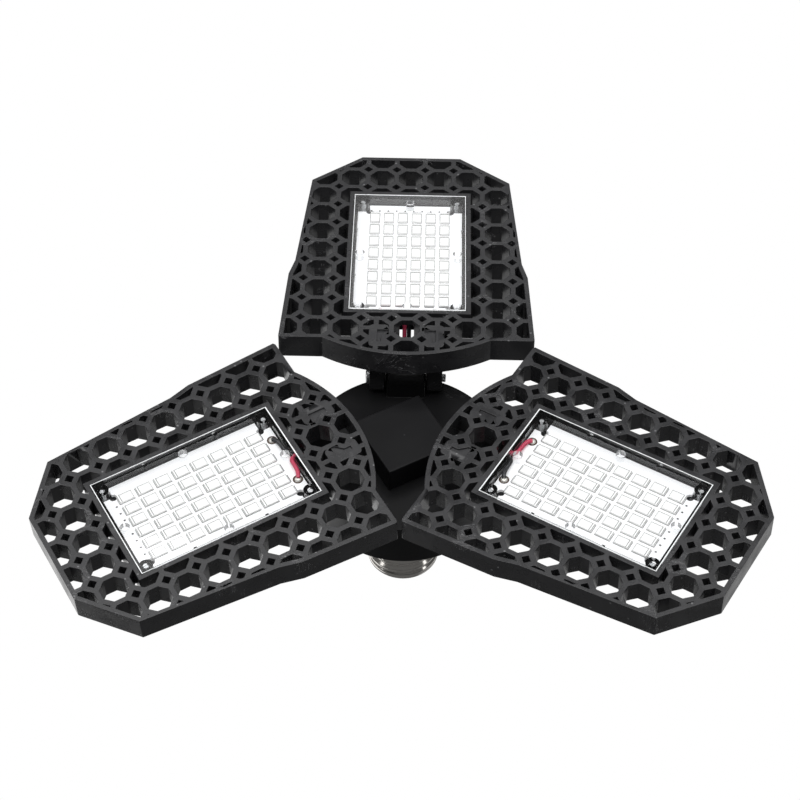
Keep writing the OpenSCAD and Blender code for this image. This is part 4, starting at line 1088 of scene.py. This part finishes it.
class LAMP_OT_light_chips(bpy.types.Operator):
    """Set the rows of light chips, each with a pale window and dark painted shade round its foot, on its window's walls
    and at its window's end
    """
    bl_idname = "lamp.light_chips"
    bl_label = "Light chips"

    def chip(self, w):
        x, y, z = w.chip_width * MM / 2, w.chip_length * MM / 2, w.chip_height * MM
        side, far, deep, edge, thin = 0.16, 0.95, 0.10, 0.06, 0.07
        levels = [(x, -y, y, 0.0), (x, -y, y, z - edge), (x - edge, -y + edge, y - edge, z),
                  (x - side, -y + side, y - far, z),
                  (x - side - edge, -y + side + edge, y - far - edge, z - deep)]
        points, faces, finishes = [], [], []
        for a, low, high, level in levels:
            points += [(-a, low, level), (a, low, level), (a, high, level), (-a, high, level)]
        for k in range(len(levels) - 1):
            for i in range(4):
                faces.append((4 * k + i, 4 * k + (i + 1) % 4, 4 * k + 4 + (i + 1) % 4, 4 * k + 4 + i))
                # The window's inner walls take finish 2: painted shade.
                finishes.append(2 if k == 3 else 0)
        faces.append(tuple(range(16, 20)))
        finishes.append(1)
        faces.append((3, 2, 1, 0))
        finishes.append(0)
        # Two thin dark bars at the window's outer end and a dark ring round the foot, all finish 2: painted shadow
        # lines.
        line, foot, sunk, proud = x - 0.05, 0.12, z - 0.03, z + 0.02
        for a, middle, b, low, high in ((line, y - side, thin, sunk, proud),
                                        (line, y - far + 0.05, thin, sunk, proud),
                                        (x + foot, 0.0, y + foot, 0.0, edge)):
            n = len(points)
            points += [(sx * a, middle + sy * b, level) for level in (low, high)
                       for sx, sy in ((-1, -1), (1, -1), (1, 1), (-1, 1))]
            faces += [(n + i, n + (i + 1) % 4, n + 4 + (i + 1) % 4, n + 4 + i) for i in range(4)]
            faces += [(n + 4, n + 5, n + 6, n + 7), (n + 3, n + 2, n + 1, n)]
            finishes += [2] * 6
        mesh = new_mesh("chip", points, faces)
        for name in ("Chip body", "Chip phosphor", "Chip seam"):
            mesh.materials.append(finish_named(name))
        mesh.polygons.foreach_set("material_index", finishes)
        return mesh

    def execute(self, context):
        scene = context.scene
        p, w = scene.lamp_panel, scene.lamp_window
        top = (p.face_height - w.pocket_depth + w.pad_thickness + w.board_thickness) * MM
        mesh = in_rows(self.chip(w), w.chips_across, w.chips_along, w.chip_pitch_x * MM, w.chip_pitch_y * MM,
                       (0.0, w.middle * MM, top))
        add_to_panels("chip_grid", in_metres(mesh), ["light_chips"])
        # Dark dashes at the hub end of each chip in the first row: painted shadow.
        x, end = w.chip_width * MM / 2 - 0.15, -w.chip_length * MM / 2
        first_row = (w.middle - w.chip_pitch_y * (w.chips_along - 1) / 2) * MM
        dash = block((-x, x), (end - 0.42, end - 0.12), (0.0, 0.12))
        mesh = in_rows(dash, w.chips_across, 1, w.chip_pitch_x * MM, 1.0, (0.0, first_row, top))
        add_to_panels("row_marks", in_metres(mesh), (), [finish_named("Dark print")])
        return {"FINISHED"}


def copied(shape, places, tree, values):
    """Copies of a shape, made by a geometry tree from a list of places."""
    tool = holder_for(shape)
    mesh = grown(new_mesh("places", places, []), tree, {"Shape": tool, **values})
    bpy.data.objects.remove(tool)
    return mesh


def in_rows(shape, columns, rows, column_pitch, row_pitch, middle):
    mesh = copied(shape, [(0.0, 0.0, 0.0)], tree_named("Rows of pieces", rows_tree), {
        "Columns": columns, "Rows": rows, "Column pitch": column_pitch, "Row pitch": row_pitch})
    mesh.transform(Matrix.Translation(middle))
    return mesh


def set_at(places, shape, turn=(0.0, 0.0, 0.0), finish="Zinc plate"):
    return copied(shape, places, tree_named("Pieces at places", places_tree),
                  {"Turn": turn, "Finish": finish_named(finish)})


def cross_headed(name, head_radius, head_height, shank_radius, shank_length, slot_half, slot_wide, deep, fine=40):
    """A pan-headed screw along +z, its head below z = 0, with a cross recess and a turned thread."""
    flat, dome, bends, root, tip = 0.55, 0.45, 6, 0.87, 0.7
    rounded_head = [(0.0, -head_height)]
    for a in [math.pi / 2 * k / bends for k in range(bends + 1)]:
        rounded_head.append((head_radius * (flat + dome * math.sin(a)), -head_height * (dome + flat * math.cos(a))))
    pitch = 0.55 if shank_radius > 1.2 else 0.42
    steps = int(shank_length / pitch * 2)
    thread = [(shank_radius * (1.0 if k % 2 else root), shank_length * k / steps) for k in range(1, steps)]
    profile = rounded_head + [(head_radius, 0.0), (shank_radius, 0.0)] + thread
    profile += [(shank_radius * tip, shank_length), (0.0, shank_length)]
    body = turned(name, profile, fine)
    body.materials.append(finish_named("Zinc plate"))
    low, floor = -head_height - PAST, deep - head_height
    long, wide = (-slot_half, slot_half), (-slot_wide, slot_wide)
    cross = joined("cross", [block(long, wide, (low, floor)), block(wide, long, (low, floor + 0.004))])
    return shade(carved(body, cross, True), 40.0)


class LAMP_OT_fasteners(bpy.types.Operator):
    """Turn the hinge screws, nuts and washers, the cover screws and the hub screws"""
    bl_idname = "lamp.fasteners"
    bl_label = "Screws and nuts"

    def execute(self, context):
        scene = context.scene
        p, w, h, b = scene.lamp_panel, scene.lamp_window, scene.lamp_hinge, scene.lamp_hub
        plate, outer, inner, seat = (p.face_height - p.thickness) * MM, h.lug_outer * MM, h.lug_inner * MM, 1.6
        spots = [(s * w.boss_x * MM, (w.middle + t * w.boss_y) * MM, plate + seat) for s in (-1, 1) for t in (-1, 1)]
        screw = cross_headed("cover_screw", head_radius=1.9, head_height=1.3, shank_radius=1.0, shank_length=5.4,
                             slot_half=0.25, slot_wide=1.2, deep=0.5, fine=32)
        add_to_panels("cover_screw_set", in_metres(set_at(spots, screw)), ["cover_screws"])
        bolt = cross_headed("hinge_screw", h.head_radius * MM, h.head_height * MM, h.screw_radius * MM,
                            2.0 * outer + h.screw_end * MM, slot_half=0.3, slot_wide=1.8, deep=0.7)
        half, bore, height = h.nut_flats * MM / 2 / math.cos(math.pi / 6), h.screw_radius * MM + 0.05, h.nut_height * MM
        nut = carved(prism(ring(half, 6), 0.0, height), prism(ring(bore, 40), -PAST, height + PAST))
        bore, r, t, edge = h.bore_radius * MM, h.washer_radius * MM, h.washer_thickness * MM, 0.1
        washer = turned("washer", [(bore, 0.04), (bore + edge, 0.0), (r - edge, 0.0), (r, edge), (r, t - edge),
                                   (r - edge, t), (bore + edge, t), (bore, t - 0.04)], 48)
        for name, node, places, shape, finish in (
                ("hinge_bolt", "hinge_screw", [-outer], bolt, "Zinc plate"),
                ("hinge_nut_set", "hinge_nut", [outer - height], rounded(nut, 0.12, 2), "Zinc plate"),
                ("washer_pair", "hinge_washers", [inner - t, -inner], shade(washer, 50.0), "Dark oxide")):
            mesh = set_at([(x, 0.0, 0.0) for x in places], shape, (0.0, math.pi / 2, 0.0), finish)
            add_to_panels(name, in_metres(mesh), [node])
        halfway = math.pi / 3
        turns = [hinge(n)[0] + halfway + math.pi / 2 for n in PANELS]
        spots = [(b.screw_ring * MM * math.cos(a), b.screw_ring * MM * math.sin(a), b.screw_seat * MM) for a in turns]
        screw = cross_headed("hub_screw", b.head_radius * MM, b.head_height * MM, b.screw_radius * MM,
                             b.screw_length * MM, slot_half=0.3, slot_wide=1.5, deep=0.8)
        add_piece("hub_screw_set", in_metres(set_at(spots, screw)), "hub", ["hub_screws"])
        return {"FINISHED"}


class LAMP_OT_hub(bpy.types.Operator):
    """Dress the hub: its top with the hinge barrels, the housing and the square cap"""
    bl_idname = "lamp.hub"
    bl_label = "Hub"

    def execute(self, context):
        wide = context.scene.lamp_hub.edge_round * MM
        for node, name, width, finish, slot in (
                ("hub_cover", "hub_top", wide * 0.7, "Hub paint", "frame_black"),
                ("hub_housing", "hub_bowl", wide, "Black moulding", "housing_black"),
                ("driver_cap", "square_cap", wide * 1.3, "Black moulding", "housing_black")):
            mesh = in_metres(rounded(cad_copy(node), width, 3, 35.0))
            add_piece(name, mesh, "hub", [node], [finish_named(finish)])
        return {"FINISHED"}


class LAMP_OT_screw_base(bpy.types.Operator):
    """Roll the threaded shell and dress the insulator and the centre contact"""
    bl_idname = "lamp.screw_base"
    bl_label = "Screw base"

    def execute(self, context):
        s = context.scene.lamp_base
        crest, deep, pitch, collar = s.crest_radius * MM, s.thread_depth * MM, s.thread_pitch * MM, s.collar_length * MM
        wall, outer = s.wall * MM, s.collar_radius * MM
        bottom = -collar - pitch * s.thread_turns
        mean, bore, end = crest - deep / 2, crest - deep - wall, bottom - s.curl_length * MM
        curl = crest - deep - s.curl_inset * MM
        profile = [(outer - wall, -0.02), (outer - 0.12, 0.0), (outer, -0.12), (outer, -collar + 0.25),
                   (outer - 0.2, -collar + 0.02)]
        rings = int(s.thread_turns * 14)
        profile += [(mean, -collar + (bottom + collar) * k / rings) for k in range(rings + 1)]
        profile += [(mean - 0.2, bottom - 0.35), (curl + 0.5, end + 0.15), (curl + 0.2, end), (curl, end + 0.1),
                    (curl - wall, end + 0.5), (bore - 0.3, bottom + 0.5), (bore, bottom + 1.2), (bore, -collar),
                    (outer - wall, -collar + wall)]
        nickel = finish_named("Nickel plate")
        mesh = grown(turned("shell", profile, 120), tree_named("Rolled thread", thread_tree), {
            "Depth": deep, "Pitch": pitch, "Top": -collar, "Bottom": bottom, "Plating": nickel})
        add_piece("threaded_shell", in_metres(shade(mesh, 40.0)), "hub", ["screw_shell"], [nickel])
        for node, name, material, slot in (
                ("shell_insulator", "tip_insulator", finish_named("Insulator"), "insulator_black"),
                ("centre_contact", "contact_button", nickel, "nickel")):
            mesh = in_metres(rounded(cad_copy(node), 0.25, 2, 40.0))
            add_piece(name, mesh, "hub", [node], [material])
        return {"FINISHED"}


def smooth_route(points, steps=6):
    """A smooth curve through points."""
    points = [Vector(p) for p in points]
    curve = []
    for k in range(len(points) - 1):
        a, b, c, d = points[max(k - 1, 0)], points[k], points[k + 1], points[min(k + 2, len(points) - 1)]
        for s in range(steps):
            t = s / steps
            bend, twist = 2 * a - 5 * b + 4 * c - d, 3 * b - a - 3 * c + d
            curve.append(0.5 * (2 * b + (c - a) * t + bend * t * t + twist * t ** 3))
    return curve + [points[-1]]


def tube(route, radius, sides=14):
    """A round tube along a route, closed at both ends."""
    points, faces, side = [], [], None
    for k, here in enumerate(route):
        ahead = (route[min(k + 1, len(route) - 1)] - route[max(k - 1, 0)]).normalized()
        if side is None:
            side = ahead.cross(Vector((0, 0, 1)) if abs(ahead.z) < 0.9 else Vector((1, 0, 0)))
        side = (side - side.dot(ahead) * ahead).normalized()
        other = ahead.cross(side)
        points += [here + radius * (math.cos(a) * side + math.sin(a) * other)
                   for a in [math.tau * s / sides for s in range(sides)]]
    for k in range(len(route) - 1):
        faces += [(k * sides + s, (k + 1) * sides + s, (k + 1) * sides + (s + 1) % sides, k * sides + (s + 1) % sides)
                  for s in range(sides)]
    faces += [tuple(range(sides)), tuple(range(len(points) - 1, len(points) - sides - 1, -1))]
    return outward(new_mesh("lead", points, faces))


class LAMP_OT_leads(bpy.types.Operator):
    """Run a red and a black lead from the driver through each hinge to its light board"""
    bl_idname = "lamp.leads"
    bl_label = "Leads"

    def execute(self, context):
        scene = context.scene
        p, w, h = scene.lamp_panel, scene.lamp_window, scene.lamp_hinge
        d = w.lead_diameter * MM
        x, close = (d + 0.4) / 2, d / 2 + 0.02
        face, plate = p.face_height * MM, (p.face_height - p.thickness) * MM
        z = face - w.pocket_depth * MM + (w.pad_thickness + w.board_thickness) * MM + d / 2 + 0.05
        y = (w.middle - w.board_length / 2 + w.joint_inset) * MM
        wall = (w.middle - w.cover_length / 2) * MM
        drop, joint, barrel = (p.first_row + p.cell_flats / 2) * MM - d, w.joint_x * MM, h.barrel_radius * MM
        slant, channel, driver_y, driver_top = math.radians(20.0), h.bore_radius * MM + 1.25, 20.6, 21.25
        for colour_name, s in (("red", -1), ("black", 1)):
            in_panel = [(joint - 0.2, y, z - 0.25), (joint - 1.0, y - 0.7, z), (joint - 3.0, y - 1.3, z + 0.05),
                        (joint - 5.8, y - 1.5, z), (joint - 7.5, y - 1.7, z), (x + 0.1, y - 2.9, z),
                        (close, wall - 1.0, z - 0.1), (close, wall - 2.3, z - 1.2), (close, drop + 3.4, z - 3.4),
                        (close, drop + 2.3, plate - 0.2), (close, drop + 0.9, plate - 2.6),
                        (close, drop - 0.1, barrel + 2.4), (x, drop - 0.3, barrel + 1.1)]
            for n in PANELS:
                turn, radius, height = hinge(n)[:3]
                radius, height = radius * MM, height * MM

                def in_channel(t):
                    return (x, radius + channel * math.cos(slant) + t * math.sin(slant),
                            height - channel * math.sin(slant) + t * math.cos(slant))

                low, mouth = in_channel(-10.5), in_channel(barrel - 0.9)
                in_hub = [mouth, in_channel(0.0), in_channel(-6.0), low, (1.6, low[1] - 2.2 * d, low[2] - 3.0 * d),
                          (2.4, driver_y, 24.2), (2.6, driver_y, driver_top)]
                place = panel_place(n, MM)
                spin = Matrix.Rotation(turn, 4, "Z")
                route = [where @ Vector((s * a, b, c))
                         for where, points in ((place, in_panel), (spin, in_hub)) for a, b, c in points]
                mesh = in_metres(shade(tube(smooth_route(route), d / 2), 60.0))
                lead = add_piece(f"{colour_name}_lead_{n}", mesh, None, (),
                                 [finish_named(f"{colour_name.capitalize()} insulation")])
                start, end = (spin @ Vector(mouth)) / MM, (place @ Vector((0.0, drop - 0.3, barrel + 1.1))) / MM
                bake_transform(lead, "hub", f"panel_{n}", start=start, end=end)
                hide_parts(f"lead_{colour_name}_{n}", f"hub_leads_{colour_name}")
        paint_node("live_lead", "Red insulation")
        paint_node("neutral_lead", "Black insulation")
        return {"FINISHED"}


class LAMP_OT_driver(bpy.types.Operator):
    """Finish the driver's board and its components inside the hub"""
    bl_idname = "lamp.driver"
    bl_label = "Driver"

    def execute(self, context):
        for node, finish in (("driver_board", "Fibre board"), ("filter_capacitor", "Capacitor sleeve"),
                             ("choke_core", "Ferrite"), ("choke_winding", "Copper wire"),
                             ("bridge_rectifier", "Epoxy body"), ("fusible_resistor", "Resistor lacquer")):
            paint_node(node, finish)
        return {"FINISHED"}


class LAMP_OT_stage(bpy.types.Operator):
    """Set the floor, the soft studio light and the camera"""
    bl_idname = "lamp.stage"
    bl_label = "Stage"

    def execute(self, context):
        scene = context.scene
        s = scene.lamp_studio
        scene.view_settings.view_transform = "Standard"
        self.surroundings(scene, s)
        half, low = 6.0, -s.floor_drop
        corners = [(-half, -half, low), (half, -half, low), (half, half, low), (-half, half, low)]
        floor = add_piece("studio_floor", new_mesh("floor", corners, [(0, 1, 2, 3)]), None, (),
                          [self.floor_finish(s)])
        glow = (0.44, 0.56)
        for name, place, aim, wide, bright in (
                ("Overhead softbox", (-0.1, 0.08, 1.5), (-0.1, 0.08, 0.0), (2.6, 1.7), s.overhead),
                ("Left strip", (-1.5, 0.2, 0.35), (0.0, 0.0, 0.03), (0.5, 1.2), s.strip),
                ("Front left strip", (-1.3, -0.8, 0.1), (0.0, 0.0, -0.03), (0.22, 0.8), s.strip),
                ("Front right strip", (1.3, -0.8, 0.1), (0.0, 0.0, -0.03), (0.22, 0.8), s.strip),
                ("High back panel", (0.0, 1.55, 1.1), (0.0, 0.15, 0.05), (0.36, 0.3), s.strip * 0.85),
                ("Back strip", (1.1, 1.25, 0.55), (0.0, 0.0, 0.03), (0.5, 1.0), s.strip),
                ("Low left glow", (-0.41, 0.13, low + 0.002), (-0.41, 0.13, 1.0), glow, s.glow),
                ("Low right glow", (0.41, 0.13, low + 0.002), (0.41, 0.13, 1.0), glow, s.glow * 0.4)):
            self.light(name, place, aim, wide, bright)
        self.camera(scene, s)
        return {"FINISHED"}

    def surroundings(self, scene, s):
        """White where the camera sees past the lamp, dim where the lamp's finishes mirror it."""
        world = bpy.data.worlds.new("Studio")
        work = fresh_nodes(world)
        seen = work.out(work.add("ShaderNodeLightPath"), "Is Camera Ray")
        bright = work.math("ADD", work.math("MULTIPLY", seen, 1.0 - s.sky), s.sky)
        work.feed(work.add("ShaderNodeOutputWorld"), "Surface", work.add("ShaderNodeBackground", Strength=bright))
        world.node_tree.nodes["Background"].inputs["Color"].default_value = (1.0, 1.0, 1.0, 1.0)
        scene.world = world

    def floor_finish(self, s):
        """A pale floor that the camera sees as even white, as in a cut-out photograph."""
        tone = s.floor_tone
        material = finish_of("Studio floor", (tone, tone, tone), 0.9, grain=400.0, bump=0.02, cloud=4.0,
                             cloud_share=0.02)
        work = Tree(material.node_tree)
        shader, end = (next(node for node in work.tree.nodes if node.type == kind)
                       for kind in ("BSDF_PRINCIPLED", "OUTPUT_MATERIAL"))
        even = work.add("ShaderNodeEmission", Color=(1.0, 1.0, 1.0, 1.0), Strength=1.0)
        seen = work.out(work.add("ShaderNodeLightPath"), "Is Camera Ray")
        work.feed(end, "Surface", mixed_shader(work, seen, shader, even))
        return material

    def light(self, name, place, aim, wide, bright):
        """A rectangular lamp, hidden from the camera; bright is its radiance, 1 being the camera's white."""
        lamp = bpy.data.lights.new(name, "AREA")
        lamp.shape, lamp.size, lamp.size_y = "RECTANGLE", *wide
        lamp.energy = bright * math.pi * wide[0] * wide[1]
        holder = bpy.data.objects.new(name, lamp)
        holder.location = place
        holder.rotation_euler = (Vector(aim) - Vector(place)).to_track_quat("-Z", "Y").to_euler()
        holder.visible_camera = False
        bpy.context.scene.collection.objects.link(holder)

    def camera(self, scene, s):
        a, e = s.azimuth, s.elevation
        back = Vector((math.sin(a) * math.cos(e), -math.cos(a) * math.cos(e), math.sin(e)))
        right = Vector((math.cos(a), math.sin(a), 0.0))
        up = back.cross(right)
        place = Vector((0.0, 0.0, s.aim_height)) + back * s.distance + right * s.aside + up * s.above
        turned_right = right * math.cos(s.roll) - up * math.sin(s.roll)
        turned_up = right * math.sin(s.roll) + up * math.cos(s.roll)
        eye = bpy.data.cameras.new("Photograph")
        eye.lens, eye.sensor_width, eye.clip_end = s.lens, 36.0, 50.0
        holder = bpy.data.objects.new("Photograph", eye)
        holder.matrix_world = Matrix.Translation(place) @ Matrix((turned_right, turned_up, back)).transposed().to_4x4()
        scene.collection.objects.link(holder)
        scene.camera = holder


OPERATORS = (LAMP_OT_panel_frames, LAMP_OT_lens_covers, LAMP_OT_light_boards, LAMP_OT_light_chips, LAMP_OT_fasteners,
             LAMP_OT_hub, LAMP_OT_screw_base, LAMP_OT_leads, LAMP_OT_driver, LAMP_OT_stage)


class VIEW3D_PT_grow_light(bpy.types.Panel):
    """Sizes, colours and building steps of the grow light"""
    bl_label = "Grow light"
    bl_idname = "VIEW3D_PT_grow_light"
    bl_space_type = "VIEW_3D"
    bl_region_type = "UI"
    bl_category = "Grow light"

    def draw(self, context):
        for operator in OPERATORS:
            self.layout.operator(operator.bl_idname)
        for attribute, group in GROUPS:
            box = self.layout.box()
            box.label(text=group.__name__)
            for key in group.__annotations__:
                box.prop(getattr(context.scene, attribute), key)


def register():
    for attribute, group in GROUPS:
        bpy.utils.register_class(group)
        setattr(bpy.types.Scene, attribute, PointerProperty(type=group))
    for operator in OPERATORS:
        bpy.utils.register_class(operator)
    bpy.utils.register_class(VIEW3D_PT_grow_light)


def unregister():
    bpy.utils.unregister_class(VIEW3D_PT_grow_light)
    for operator in reversed(OPERATORS):
        bpy.utils.unregister_class(operator)
    for attribute, group in reversed(GROUPS):
        delattr(bpy.types.Scene, attribute)
        bpy.utils.unregister_class(group)


def main():
    register()
    for operator in OPERATORS:
        area, name = operator.bl_idname.split(".")
        getattr(getattr(bpy.ops, area), name)()


if __name__ == "__main__":
    main()
